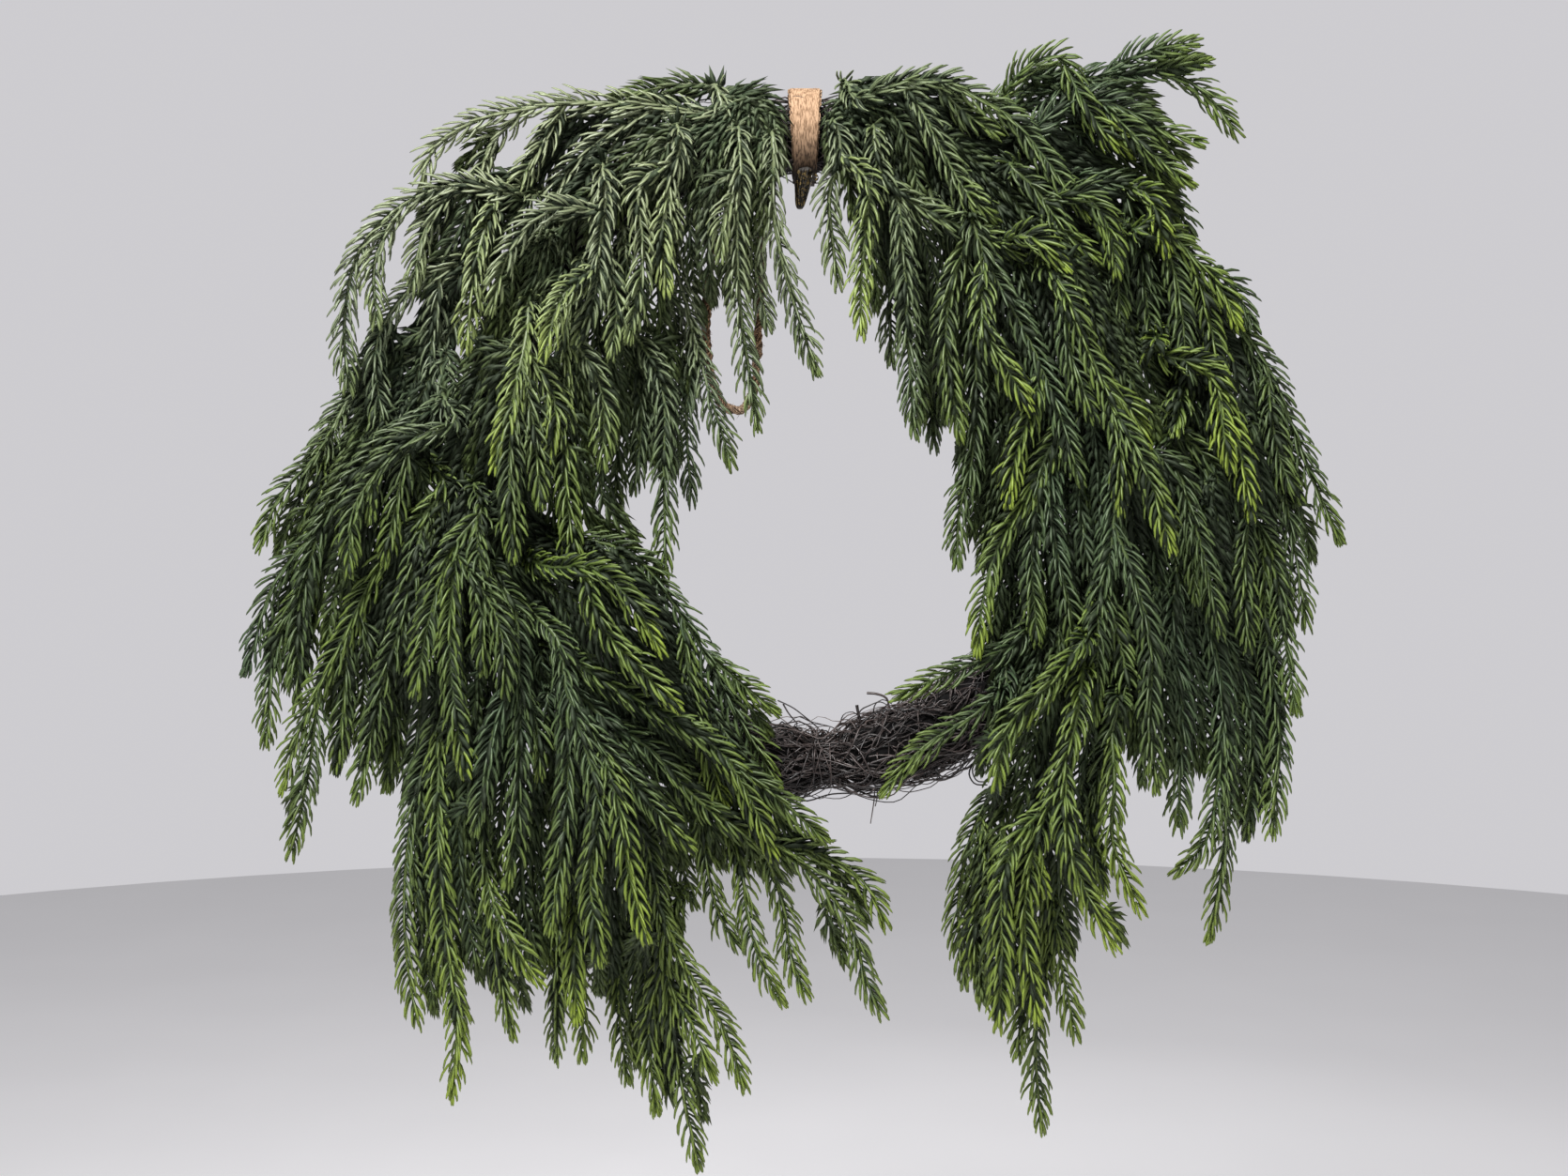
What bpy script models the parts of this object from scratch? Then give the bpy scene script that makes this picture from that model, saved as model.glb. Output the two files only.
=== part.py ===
"""A pine wreath that hangs on a wall: drooping, needled sprays on a ring of wound vines, with a jute band.

Metres, +Z up. The wall is the plane y = 0 and the front faces -Y. The origin is where the wreath hangs:
on the wall, at the top of its jute band. Each spray is one solid: a leader that leaves the ring, its side
tails, and needles raised from their sides.
"""

import math

import bmesh
import bpy
import numpy as np
from mathutils import Matrix, Vector
from mathutils.bvhtree import BVHTree
from mathutils.kdtree import KDTree

# The ring and what is bound to it
RING_RADIUS = 0.174
BUNDLE_RADIUS = 0.0225
BOUND_RADIUS = 0.0207
BAND_THICKNESS = 0.0031
BAND_GAP = 0.0005
BAND_BORE = BOUND_RADIUS + BAND_GAP
BAND_RADIUS = BAND_BORE + BAND_THICKNESS
BAND_FLAT_RADIUS = BAND_RADIUS + 0.002
BAND_TOP_WIDTH = 0.0175
BAND_LOW_WIDTH = 0.0135
RING_CENTRE = np.array((0.0, -BAND_RADIUS, -BAND_RADIUS - RING_RADIUS))
WALL_GAP = 0.001
SEAT_GAP = 0.00035
RING_STEPS = 84
BUNDLE_STEPS = 12

# Needles and the tails that carry them
NEEDLE_LENGTH = 0.0155
NEEDLE_WIDTH = 0.0032
NEEDLE_ROOT = 0.0011
NEEDLE_OPENING = 36.0
NEEDLE_PITCH = 0.0415
TIP_LENGTH = 0.009
TIP_OPENING = 22.0
TIP_TRIM = 0.006
LEADER_RADIUS = 0.0019
BRANCH_RADIUS = 0.0014
TIP_RADIUS = 0.0010
LEAD_OUT = 0.010

# How the tails settle: the room between two sprays, and the band of depths that they fill
CLEARANCE = 0.0075
RING_ROOM = 0.0055
LEAST_DEPTH = 0.009
MOST_DEPTH = 0.128
STEP = 0.004
ROUNDS = 90
CORE_ROUNDS = 30
CORE_ROOM = 0.0007
NEEDLE_ROOM = 0.0003

# A route's two numbers are centimetres across and up on a plane SHEET_DEPTH off the wall. A point at
# another depth lies on the same sight line from the eye, so the front view keeps its outline.
EYE = np.array((-0.0115, -0.9216, -0.276))
SHEET_DEPTH = 0.0636
SHEET_SHIFT = (-0.0005, -0.01275)

# The hole that stays open: the boxes that no needle enters
HOLE = (
    ((-0.034, -0.14, -0.306), (0.063, 0.0, -0.208)),
    ((-0.008, -0.14, -0.208), (0.036, 0.0, -0.157)),
)

DARK = "dark"
GREEN = "green"
YOUNG = "young"
LOOK_DEPTH = {DARK: -0.012, GREEN: 0.0, YOUNG: 0.008}
LOOK_COLOUR = {DARK: (0.045, 0.085, 0.040), GREEN: (0.085, 0.150, 0.055), YOUNG: (0.200, 0.300, 0.060)}

# Each spray: its name, the clock angle of its root on the ring, the side of the bundle it leaves (0 the
# front, 90 the outer edge), its usual depth in millimetres, and its tails. The first tail is the leader.
# A side tail's first point is where it leaves the leader.
SPRAYS = (
    ("spray_r01", 5, 0, 60, (
        (GREEN, (1.9, -2.7), (1.3, -5.5), (1.5, -8), (1.8, -10.5)),
        (YOUNG, (1.9, -3.1), (3.3, -4.6), (3.2, -7.5), (3, -10), (3, -13)),
    )),
    ("spray_r02", 12, 0, 72, (
        (GREEN, (4.3, -4.6), (6.6, -6.3), (9.2, -7.4), (11.9, -8.8)),
        (GREEN, (5, -5.2), (5.3, -9), (5.5, -13), (5.85, -18.4)),
        (GREEN, (8.7, -7.2), (8, -9.6), (7.5, -12.5), (7.8, -15.5), (8.3, -18.6)),
        (YOUNG, (10.4, -7.9), (12, -7.6), (13.2, -8.5), (14.3, -9.5)),
    )),
    ("spray_r03", 17, -40, 36, (
        (DARK, (4.4, -7), (4.5, -10), (4.6, -14.6)),
        (DARK, (4.5, -8), (6.6, -10.5), (6.7, -14), (6.9, -19.2)),
    )),
    ("spray_r04", 6, 55, 66, (
        (GREEN, (2.8, -0.2), (5, 0.5), (7.2, 0.7), (9.2, -0.2), (11, -1.3), (12.6, -3.2), (15.3, -6.7)),
        (GREEN, (5.2, 0.5), (6.6, -1.6), (7.4, -3.2), (8.6, -5.2), (10.4, -7)),
        (GREEN, (6.8, 0.6), (8.4, -0.9), (10.5, -2.3)),
    )),
    ("spray_r05", 28, 70, 38, (
        (GREEN, (9.5, -1), (11.5, 0.1), (14, 0.7), (17, 1), (19.5, 1.4), (21.7, 1.7)),
        (GREEN, (15.6, 0.9), (17.4, 1.9), (19.2, 2.5), (21.1, 2.8)),
        (GREEN, (18.6, 1.3), (20.4, 0.7), (21.9, -0.6), (23.3, -2.5)),
        (YOUNG, (10.4, -0.2), (11.8, 1.4), (13.4, 2), (14.5, 0.2), (15.6, -1.6), (17.7, -3.3)),
    )),
    ("spray_r06", 34, 60, 52, (
        (GREEN, (11.6, -2.4), (13.5, -0.8), (15.5, -0.3), (17.2, -0.9), (19, -1.9), (21.3, -2.7)),
        (GREEN, (15.8, -0.4), (17.2, -1.9), (18.8, -3.4), (20.7, -5)),
        (DARK, (14.4, -0.6), (15.2, -3), (17, -4.4)),
    )),
    ("spray_r07", 38, 30, 66, (
        (GREEN, (10.9, -3.8), (12.4, -5.2), (13.8, -7.3), (15.8, -9)),
        (GREEN, (12.8, -5.8), (14.9, -5.4), (16.1, -7), (16.7, -9.8)),
    )),
    ("spray_r08", 44, 60, 46, (
        (GREEN, (15, -4.7), (16.8, -4.9), (17.6, -7), (18.1, -10.4), (18.7, -14.4)),
        (YOUNG, (16.6, -4.8), (18.3, -5.4), (18.9, -7), (19.3, -8.7)),
        (DARK, (16, -4.7), (18.8, -4.9), (20.2, -6.7), (20.6, -8.3)),
        (GREEN, (17.4, -6.6), (16.7, -9.5), (16.9, -12.6)),
    )),
    ("spray_r09", 52, 75, 42, (
        (YOUNG, (17, -7.3), (18.8, -7.2), (20.8, -8.8), (22.3, -10.6), (23.2, -12.6)),
        (DARK, (21, -9), (22.9, -10.4), (24.1, -12.8)),
        (YOUNG, (20.4, -8.6), (21.4, -11.5), (21.9, -14), (22.1, -17)),
        (GREEN, (19, -7.4), (20, -11), (20.2, -14.5), (19.7, -18.4)),
    )),
    ("spray_r10", 60, 80, 34, (
        (GREEN, (18.6, -10.5), (21.5, -11), (24, -13.5), (25.6, -16.8), (27, -20.4), (28.6, -24)),
        (GREEN, (24.6, -14.8), (24.9, -17.5), (25.5, -20), (26.5, -21.8)),
        (GREEN, (23.4, -12.8), (24.6, -17.5), (25.7, -22), (26.3, -25.5), (26.8, -28.7)),
    )),
    ("spray_r11", 70, 70, 54, (
        (YOUNG, (18.8, -13.8), (21.3, -14.5), (22.7, -17.5), (23.4, -20), (23.8, -22.8)),
        (YOUNG, (21.8, -15.4), (22.3, -18), (22.7, -20.2)),
        (DARK, (20.3, -14.2), (20.7, -18), (21.4, -22.2)),
    )),
    ("spray_r12", 80, 75, 40, (
        (GREEN, (19.5, -17), (22.6, -20.6), (24.8, -24.3), (25.5, -28.5), (26.2, -33.1)),
        (GREEN, (23.6, -22.2), (23.4, -26), (23.6, -29.8)),
        (GREEN, (24.4, -23.6), (24.6, -29), (25.3, -34), (24.8, -39.9)),
    )),
    ("spray_r13", 48, 0, 84, (
        (YOUNG, (12.8, -9), (13.9, -10.6), (14.8, -13), (16.1, -16), (16.8, -19), (16.9, -22.5)),
        (GREEN, (13.8, -10.4), (14.1, -13.6), (14.8, -15.7), (15.6, -17.6)),
        (YOUNG, (15.6, -14.8), (17.6, -17.2), (18.3, -18.9)),
        (YOUNG, (16.3, -16.6), (17.9, -19.4), (18.9, -22), (19.6, -24.6)),
    )),
    ("spray_r14", 30, -10, 76, (
        (GREEN, (8.8, -6.4), (10, -9.5), (11.8, -12.8), (13.2, -16), (14.8, -20.9)),
        (YOUNG, (9.6, -8.6), (9.7, -12.8), (11, -15), (12.1, -17)),
        (YOUNG, (12.6, -14.6), (12, -17), (11.2, -19.4), (10.8, -22)),
    )),
    ("spray_r15", 26, -40, 58, (
        (GREEN, (8.1, -8), (9, -12), (9.1, -16), (8.9, -19.5), (8.2, -22.5), (8.1, -25.3)),
        (DARK, (9, -12.6), (10.1, -15.6), (10.6, -17.8)),
        (DARK, (9.1, -16.4), (9.9, -20.5), (10.1, -24)),
    )),
    ("spray_r16", 42, -30, 64, (
        (GREEN, (11.4, -9), (12.4, -13), (13, -17), (12.9, -21), (12.2, -24.3)),
        (GREEN, (13, -18.4), (13.2, -23), (14.1, -27.3), (14.7, -30.6)),
        (GREEN, (13, -17), (14.6, -19.6), (15.7, -23.6)),
    )),
    ("spray_r17", 78, -20, 62, (
        (YOUNG, (13.8, -17.6), (11.8, -21.4), (10.1, -24.6), (9.4, -27.5), (9.2, -30)),
        (GREEN, (12.8, -19.6), (12.1, -25), (12.4, -29.4)),
        (DARK, (11.6, -21.8), (11, -26), (10.4, -31.2)),
    )),
    ("spray_r18", 84, 0, 78, (
        (GREEN, (16.6, -20.8), (16.3, -24.2), (15.7, -27), (15.6, -30), (15.4, -33.6)),
        (GREEN, (16.4, -23), (17.6, -26), (18.4, -29), (18.4, -33), (18.7, -37.3)),
        (GREEN, (15.8, -26), (16.8, -29.3), (17.2, -32), (16.5, -35.5)),
    )),
    ("spray_r19", 88, 50, 58, (
        (GREEN, (18.2, -18.8), (19.8, -20), (20.4, -23), (20.9, -27.2)),
        (GREEN, (20, -20.8), (21.2, -24.5), (22.2, -29)),
        (GREEN, (19.2, -19.4), (18.6, -23), (18.9, -26), (19.8, -30)),
    )),
    ("spray_r20", 98, 70, 46, (
        (GREEN, (19.2, -22.8), (21, -26.5), (22.1, -31), (22.4, -36), (22.3, -40.5), (21.5, -45.2)),
        (GREEN, (22.2, -33.5), (21.9, -37.4), (21.3, -39.9), (19.6, -41.7)),
        (DARK, (21.3, -27.5), (23.4, -31), (23.9, -35.5), (23.5, -39.8)),
        (GREEN, (20, -24.6), (19.6, -28.5), (20.1, -33), (20, -36), (19.9, -39.7)),
    )),
    ("spray_r21", 116, 0, 88, (
        (YOUNG, (15.1, -28.7), (13.9, -30.4), (12.6, -32), (11.1, -34.2)),
        (YOUNG, (13.2, -31.2), (11.4, -33), (10.4, -35), (10.2, -37.3)),
    )),
    ("spray_r22", 122, 10, 92, (
        (YOUNG, (14.8, -30.8), (14.3, -34), (13.2, -37.3), (12.1, -40.5), (11.7, -44), (12.4, -49.6)),
        (YOUNG, (13, -37.8), (11.2, -39.8), (10.5, -42.5), (10.5, -46), (10.3, -50)),
        (YOUNG, (12.2, -40.2), (12.9, -42.8)),
        (YOUNG, (13.8, -35.6), (14, -39.5), (15.2, -43), (16.7, -45.8)),
    )),
    ("spray_r23", 110, 30, 74, (
        (GREEN, (16.8, -28.6), (16.6, -33), (15.6, -36.4), (15.2, -39), (16, -42.8)),
        (YOUNG, (16.4, -34), (16.5, -36.8), (16.4, -39.8), (17.2, -42), (18, -43.8)),
    )),
    ("spray_r24", 128, 20, 62, (
        (GREEN, (13.8, -32.5), (13.6, -36), (13, -41), (12.7, -46), (12.3, -51), (12.6, -55.4)),
        (GREEN, (13, -41.4), (13.6, -46), (14.5, -50.5)),
        (GREEN, (12.7, -45.8), (11.6, -48.8), (11.3, -51.5)),
    )),
    ("spray_r25", 136, 0, 52, (
        (DARK, (11, -33.4), (10.2, -36.6), (8.9, -39.5), (8.2, -43), (8.5, -47.7)),
        (GREEN, (9.5, -38.4), (9.9, -41), (9.1, -44.5), (9.6, -48.9)),
    )),
    ("spray_r26", 126, -30, 60, (
        (GREEN, (11, -29.4), (8.6, -30.5), (6.4, -31.4), (4.5, -32.2)),
        (DARK, (10.8, -29.7), (10.7, -31.5), (10.4, -33.2)),
    )),
    ("spray_r27", 142, -10, 62, (
        (GREEN, (9.2, -33), (7.6, -33.9), (5.8, -35.3), (4.1, -37.4)),
    )),
    ("spray_l01", -6, -10, 58, (
        (GREEN, (-1.6, -3.6), (-1.7, -5.4), (-1.1, -9.2), (-0.2, -12.3), (0.7, -15)),
        (DARK, (-1.6, -6), (-2.6, -8.6), (-1.9, -12.8)),
    )),
    ("spray_l02", -12, 0, 66, (
        (GREEN, (-3.4, -3.8), (-3.6, -7.5), (-3.4, -11.8), (-2.9, -15.2), (-2.5, -18)),
        (GREEN, (-3.5, -4.4), (-4.3, -6.6), (-4.5, -9)),
    )),
    ("spray_l03", -22, 20, 62, (
        (GREEN, (-6.6, -2.8), (-7.2, -4.6), (-6.7, -7.8)),
        (GREEN, (-6.9, -3.6), (-8.5, -4.4), (-8.6, -8.6), (-9.4, -13.3)),
        (YOUNG, (-7.2, -4.8), (-7.6, -7.8), (-7.3, -10.8)),
    )),
    ("spray_l04", -14, 60, 46, (
        (GREEN, (-4.4, -0.9), (-8, -0.6), (-12, -0.5), (-15, -0.8), (-18, -1.7), (-19.9, -3.2),
         (-20.6, -5.6)),
        (GREEN, (-12.6, -0.5), (-14.3, -3.2), (-15.8, -5.6)),
        (GREEN, (-14.6, -0.7), (-16.9, -3), (-17.2, -5.6), (-16.8, -8)),
        (DARK, (-7.6, -0.6), (-10.8, -2.4), (-13, -4.8), (-13.6, -7.8)),
    )),
    ("spray_l05", -36, 20, 72, (
        (GREEN, (-10.6, -5.4), (-10.9, -8), (-11.2, -10.8), (-12.3, -13.5)),
        (GREEN, (-10.7, -6.2), (-13.5, -6.2), (-15.6, -8.2), (-16.8, -11.7)),
        (GREEN, (-10.9, -8), (-10, -11), (-10.3, -14.2)),
        (YOUNG, (-11, -9), (-13, -11), (-14, -14.2)),
    )),
    ("spray_l06", -46, 60, 50, (
        (GREEN, (-15.2, -5.4), (-18, -4.8), (-21.5, -6), (-23.6, -8.2), (-24.5, -12), (-24.3, -16.2)),
        (GREEN, (-21.6, -6.1), (-22.9, -9), (-22.8, -12.5)),
        (GREEN, (-18.6, -4.9), (-20.3, -7.5), (-21, -10.8)),
        (YOUNG, (-16.2, -5.1), (-17.4, -8.5), (-18.1, -13.8)),
    )),
    ("spray_l07", -58, 70, 38, (
        (GREEN, (-17.8, -8.8), (-20.5, -10), (-22.7, -13), (-22.6, -17), (-22.4, -20.2)),
        (DARK, (-19.2, -9.3), (-19.9, -14), (-19.2, -20.7)),
    )),
    ("spray_l08", -68, 80, 30, (
        (DARK, (-18.8, -12.6), (-22, -14.4), (-24.6, -16.6), (-26.6, -20)),
        (GREEN, (-24.2, -16.3), (-26, -19.3), (-28, -21.5), (-29.2, -24.5)),
        (YOUNG, (-25.2, -17.5), (-26, -22), (-26.8, -28.9)),
    )),
    ("spray_l09", -76, 75, 42, (
        (GREEN, (-19.2, -16), (-22.4, -18.6), (-25.4, -22.4), (-26.8, -27), (-27, -32.9)),
        (DARK, (-25.6, -22.8), (-28.2, -26), (-29.8, -31)),
        (GREEN, (-26.6, -26), (-28.2, -29.6), (-28.7, -35)),
    )),
    ("spray_l10", -82, 50, 62, (
        (GREEN, (-18.6, -17.4), (-21.4, -18.6), (-23, -20.6), (-23.2, -22.9)),
        (GREEN, (-22.6, -20), (-24, -22), (-24.3, -25.7)),
        (GREEN, (-21, -18.4), (-21.8, -22), (-22.4, -25.2)),
    )),
    ("spray_l11", -92, 70, 48, (
        (GREEN, (-19.2, -20.6), (-22.3, -24.6), (-24.8, -29.5), (-26.8, -33.6), (-27.9, -37.3)),
        (GREEN, (-25.8, -31.6), (-26.4, -36), (-27.4, -40.8)),
        (GREEN, (-24.4, -28.6), (-24.5, -32), (-25, -36.3)),
        (GREEN, (-20.4, -22), (-21.2, -27), (-22.6, -32), (-23.9, -37.8)),
        (GREEN, (-21.5, -28.5), (-21.9, -33), (-22.3, -37.2)),
    )),
    ("spray_l12", -97, 10, 78, (
        (GREEN, (-17.2, -22.2), (-18.5, -23.8), (-19.9, -27.6), (-20.8, -32.2)),
        (GREEN, (-17.4, -22.6), (-17.2, -26.5), (-17.1, -31)),
        (YOUNG, (-18.6, -24), (-18.9, -29), (-18.6, -33), (-18, -36.5)),
        (GREEN, (-17.3, -25), (-16.2, -28.5), (-15.9, -32.3)),
    )),
    ("spray_l13", -62, -10, 74, (
        (YOUNG, (-14.8, -12.8), (-15.4, -15.5), (-16.6, -20.2)),
        (GREEN, (-15, -14), (-14.4, -18), (-14, -22.1)),
        (YOUNG, (-14.9, -13.4), (-13.3, -16.5), (-13.6, -19.6)),
        (GREEN, (-15.3, -15.6), (-15.7, -20), (-15.5, -25)),
    )),
    ("spray_l14", -50, -30, 64, (
        (YOUNG, (-12.6, -11.5), (-12.8, -15.4), (-12.8, -19.6), (-12.1, -26)),
        (GREEN, (-12.6, -12.4), (-10.9, -15.6), (-10.7, -20.1)),
    )),
    ("spray_l15", -40, -40, 50, (
        (DARK, (-10, -9.6), (-9, -14), (-8.7, -17.6), (-9.1, -21.4)),
        (GREEN, (-9.3, -12), (-7.6, -15.6), (-7.5, -20), (-7.4, -25.7)),
    )),
    ("spray_l16", -28, -50, 40, (
        (DARK, (-7, -8.4), (-6, -12.6), (-6.3, -17.5), (-6, -22)),
        (GREEN, (-6.1, -12), (-5.2, -15.5), (-3.8, -20)),
    )),
    ("spray_l17", -112, -20, 82, (
        (YOUNG, (-13.6, -25.2), (-11, -25.4), (-9, -27.4), (-7.5, -29.9)),
        (YOUNG, (-12, -25.2), (-10.6, -28.6), (-8.8, -30.6), (-6.6, -32.9)),
    )),
    ("spray_l18", -108, -50, 60, (
        (GREEN, (-12.6, -23.6), (-9.4, -24.4), (-6.8, -27.4), (-5, -30.4), (-3.3, -33.6), (-1.3, -37)),
        (GREEN, (-5.4, -29.7), (-3.3, -31.5), (-1.4, -33)),
        (YOUNG, (-6.4, -27.9), (-6, -32), (-5, -35.6), (-4.1, -39)),
    )),
    ("spray_l19", -128, 0, 74, (
        (YOUNG, (-10.4, -31.4), (-7.6, -33), (-4.6, -35), (-2.7, -38), (-1.6, -40.9)),
        (GREEN, (-4.2, -35.4), (-1.2, -37.7), (1.3, -39.9)),
    )),
    ("spray_l20", -138, 20, 64, (
        (GREEN, (-8.6, -34.6), (-5.2, -38), (-1.8, -39.9), (1.4, -40.7), (3.4, -42.3), (4.4, -44.5)),
        (GREEN, (-1.4, -40), (0.8, -42), (2.6, -44.6), (3.2, -47), (4.2, -49.3)),
        (GREEN, (-2.4, -39.6), (-1.1, -43.4), (-0.7, -46), (0.15, -48.3)),
    )),
    ("spray_l21", -147, 10, 50, (
        (GREEN, (-7, -36), (-4.4, -38.2), (-3.4, -41), (-3, -44), (-2.2, -46.6), (-1.1, -48.6)),
        (DARK, (-5.6, -37.1), (-5.3, -40.4), (-4.6, -43.6), (-3.4, -45.8)),
        (DARK, (-6.4, -36.4), (-6.7, -40.6), (-5.8, -43.4)),
    )),
    ("spray_l22", -120, 0, 90, (
        (GREEN, (-13.2, -29), (-12.4, -32.5), (-10.2, -35.4), (-8.2, -37.8), (-5.9, -40.4)),
        (YOUNG, (-10.8, -34.8), (-9.8, -38.4), (-9.3, -41.8), (-8.4, -45.2)),
        (GREEN, (-12.6, -31.4), (-12.6, -37), (-13, -41), (-13.6, -44.8)),
        (GREEN, (-12.3, -32.8), (-11, -38), (-11.4, -42), (-10.9, -46.5)),
    )),
    ("spray_l23", -109, 20, 74, (
        (GREEN, (-15.6, -27), (-15.2, -31.5), (-15.2, -36), (-15.4, -39.5), (-15.9, -42.3)),
        (GREEN, (-15.3, -30.4), (-16.6, -34), (-17.1, -37), (-17.6, -39.5)),
        (GREEN, (-15.2, -31), (-14.2, -34), (-14.1, -36.6)),
    )),
    ("spray_l24", -105, 50, 52, (
        (GREEN, (-17.8, -26), (-19, -32), (-20.6, -37), (-21.3, -42), (-21.2, -46), (-20.6, -49.8)),
        (YOUNG, (-19.5, -33.5), (-19.5, -40), (-19.1, -45), (-18.5, -49.8), (-18.8, -53.7)),
        (GREEN, (-21.1, -40.4), (-19.9, -43.6), (-18.9, -47), (-18.1, -50.6)),
    )),
    ("spray_l25", -118, 30, 58, (
        (GREEN, (-15.4, -31), (-16.7, -35), (-17.1, -40.6), (-16.6, -44.6), (-16.1, -47.4), (-15.5, -50.4)),
        (YOUNG, (-17, -41), (-16.2, -44), (-15.1, -46), (-13.9, -47.6)),
    )),
    ("spray_l26", -126, 20, 54, (
        (DARK, (-13, -32.6), (-13.4, -36.5), (-13.3, -41.5), (-13.2, -46.5), (-13.2, -51.7)),
        (YOUNG, (-13.3, -40.5), (-12.2, -43.6), (-12.3, -46.6), (-12.1, -49.5)),
        (GREEN, (-13.2, -43.4), (-11.9, -48), (-11.8, -51.6)),
    )),
    ("spray_l27", -133, 10, 66, (
        (GREEN, (-10.2, -34), (-8.9, -38), (-7.9, -42.5), (-7.3, -47), (-6.7, -52), (-5.6, -57.4)),
        (GREEN, (-7.8, -43.4), (-6.3, -46.6), (-4.4, -49.6), (-3.1, -53.2)),
        (GREEN, (-7.5, -45.6), (-8.3, -50), (-7.9, -54.4)),
        (GREEN, (-7.2, -47.4), (-5.9, -49.8), (-4.8, -52.7)),
        (DARK, (-8.4, -40.4), (-9.7, -44.6), (-9.9, -48.6), (-9.4, -52.8)),
    )),
)

# The jute's loose end: across, off the wall and up, in metres, from the ring's under side and back to it
LOOP_RADIUS = 0.0025
LOOP_ROUTE = (
    (-0.0490, -0.0243, -0.0565),
    (-0.0502, -0.0236, -0.0680),
    (-0.0524, -0.0215, -0.0900),
    (-0.0545, -0.0190, -0.1150),
    (-0.0548, -0.0170, -0.1400),
    (-0.0515, -0.0160, -0.1600),
    (-0.0450, -0.0160, -0.1735),
    (-0.0365, -0.0162, -0.1765),
    (-0.0300, -0.0170, -0.1690),
    (-0.0268, -0.0185, -0.1500),
    (-0.0255, -0.0205, -0.1250),
    (-0.0245, -0.0225, -0.0950),
    (-0.0238, -0.0236, -0.0680),
    (-0.0237, -0.0243, -0.0512),
)
LOOP_POINTS = 28


def seen(across, up, depth):
    """The point at this depth off the wall, in metres, on the sight line through a route's two numbers."""
    sheet = np.array((across * 0.01 + SHEET_SHIFT[0], -SHEET_DEPTH, up * 0.01 + SHEET_SHIFT[1]))
    return EYE + (sheet - EYE) * (-EYE[1] - depth) / (-EYE[1] - SHEET_DEPTH)


def unit(vector):
    return vector / np.linalg.norm(vector)


def smooth_path(points, step):
    """Points a step apart along one smooth curve through the given points."""
    points = np.array(points, float)
    knots = np.concatenate(((0.0,), np.cumsum(np.linalg.norm(np.diff(points, axis=0), axis=1))))
    slopes = np.gradient(points, knots, axis=0)
    fine = []
    for i in range(len(points) - 1):
        span = knots[i + 1] - knots[i]
        t = np.linspace(0.0, 1.0, max(4, int(span / 0.001)), endpoint=False)[:, None]
        fine.append(
            (2 * t**3 - 3 * t**2 + 1) * points[i] + (t**3 - 2 * t**2 + t) * span * slopes[i]
            + (3 * t**2 - 2 * t**3) * points[i + 1] + (t**3 - t**2) * span * slopes[i + 1]
        )
    fine = np.concatenate(fine + [points[-1:]])
    along = np.concatenate(((0.0,), np.cumsum(np.linalg.norm(np.diff(fine, axis=0), axis=1))))
    stops = np.linspace(0.0, along[-1], max(3, int(round(along[-1] / step)) + 1))
    return np.stack([np.interp(stops, along, fine[:, k]) for k in range(3)], axis=1)


def lengths_along(points):
    return np.concatenate(((0.0,), np.cumsum(np.linalg.norm(np.diff(points, axis=0), axis=1))))


def bundle_radius(around, side):
    """The vine bundle's radius: three loose strands twisted together, pinched where it is bound."""
    strands = 0.0013 * math.cos(3 * side + 14 * around) + 0.0008 * math.cos(2 * side - 9 * around + 1.0)
    swell = 0.0010 * math.sin(5 * around + 0.6)
    pinch = 0.0080 * math.exp(-(((math.degrees(around) % 360 - 176.0) / 4.5) ** 2))
    across = abs(RING_RADIUS * math.sin(around)) if math.cos(around) > 0 else 1.0
    loose = min(1.0, max(0.0, (across - 0.014) / 0.012))
    return BOUND_RADIUS + loose * (BUNDLE_RADIUS - BOUND_RADIUS + strands + swell - pinch)


def ring_point(around, side):
    """A point of the bundle's surface and the direction out of it, angles in radians."""
    outward = np.array((math.sin(around), 0.0, math.cos(around)))
    normal = math.cos(side) * np.array((0.0, -1.0, 0.0)) + math.sin(side) * outward
    return RING_CENTRE + RING_RADIUS * outward + bundle_radius(around, side) * normal, normal


def new_object(name, mesh, colour, roughness, home):
    """A finished piece with its own material, in the wreath's collection."""
    material = bpy.data.materials.new(name)
    material.use_nodes = True
    shader = material.node_tree.nodes["Principled BSDF"]
    shader.inputs["Base Color"].default_value = (*colour, 1.0)
    shader.inputs["Roughness"].default_value = roughness
    shader.inputs["Metallic"].default_value = 0.0
    mesh.materials.clear()
    mesh.materials.append(material)
    piece = bpy.data.objects.new(name, mesh)
    home.objects.link(piece)
    return piece


def make_ring(home):
    """The base: a torus whose points are moved out to the wound strands, flat where it meets the wall."""
    bpy.ops.mesh.primitive_torus_add(
        major_segments=RING_STEPS,
        minor_segments=BUNDLE_STEPS,
        major_radius=RING_RADIUS,
        minor_radius=BUNDLE_RADIUS,
    )
    torus = bpy.context.object
    mesh = torus.data
    for vertex in mesh.vertices:
        x, y, z = vertex.co
        around = math.atan2(x, y)
        side = math.atan2(math.hypot(x, y) - RING_RADIUS, z)
        place = ring_point(around, side)[0]
        place[1] = min(place[1], -WALL_GAP)
        vertex.co = place - RING_CENTRE
    bpy.data.objects.remove(torus)
    mesh.name = "vine_ring"
    mesh.shade_smooth()
    ring = new_object("vine_ring", mesh, (0.030, 0.022, 0.020), 0.75, home)
    ring.location = RING_CENTRE
    return ring


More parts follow.
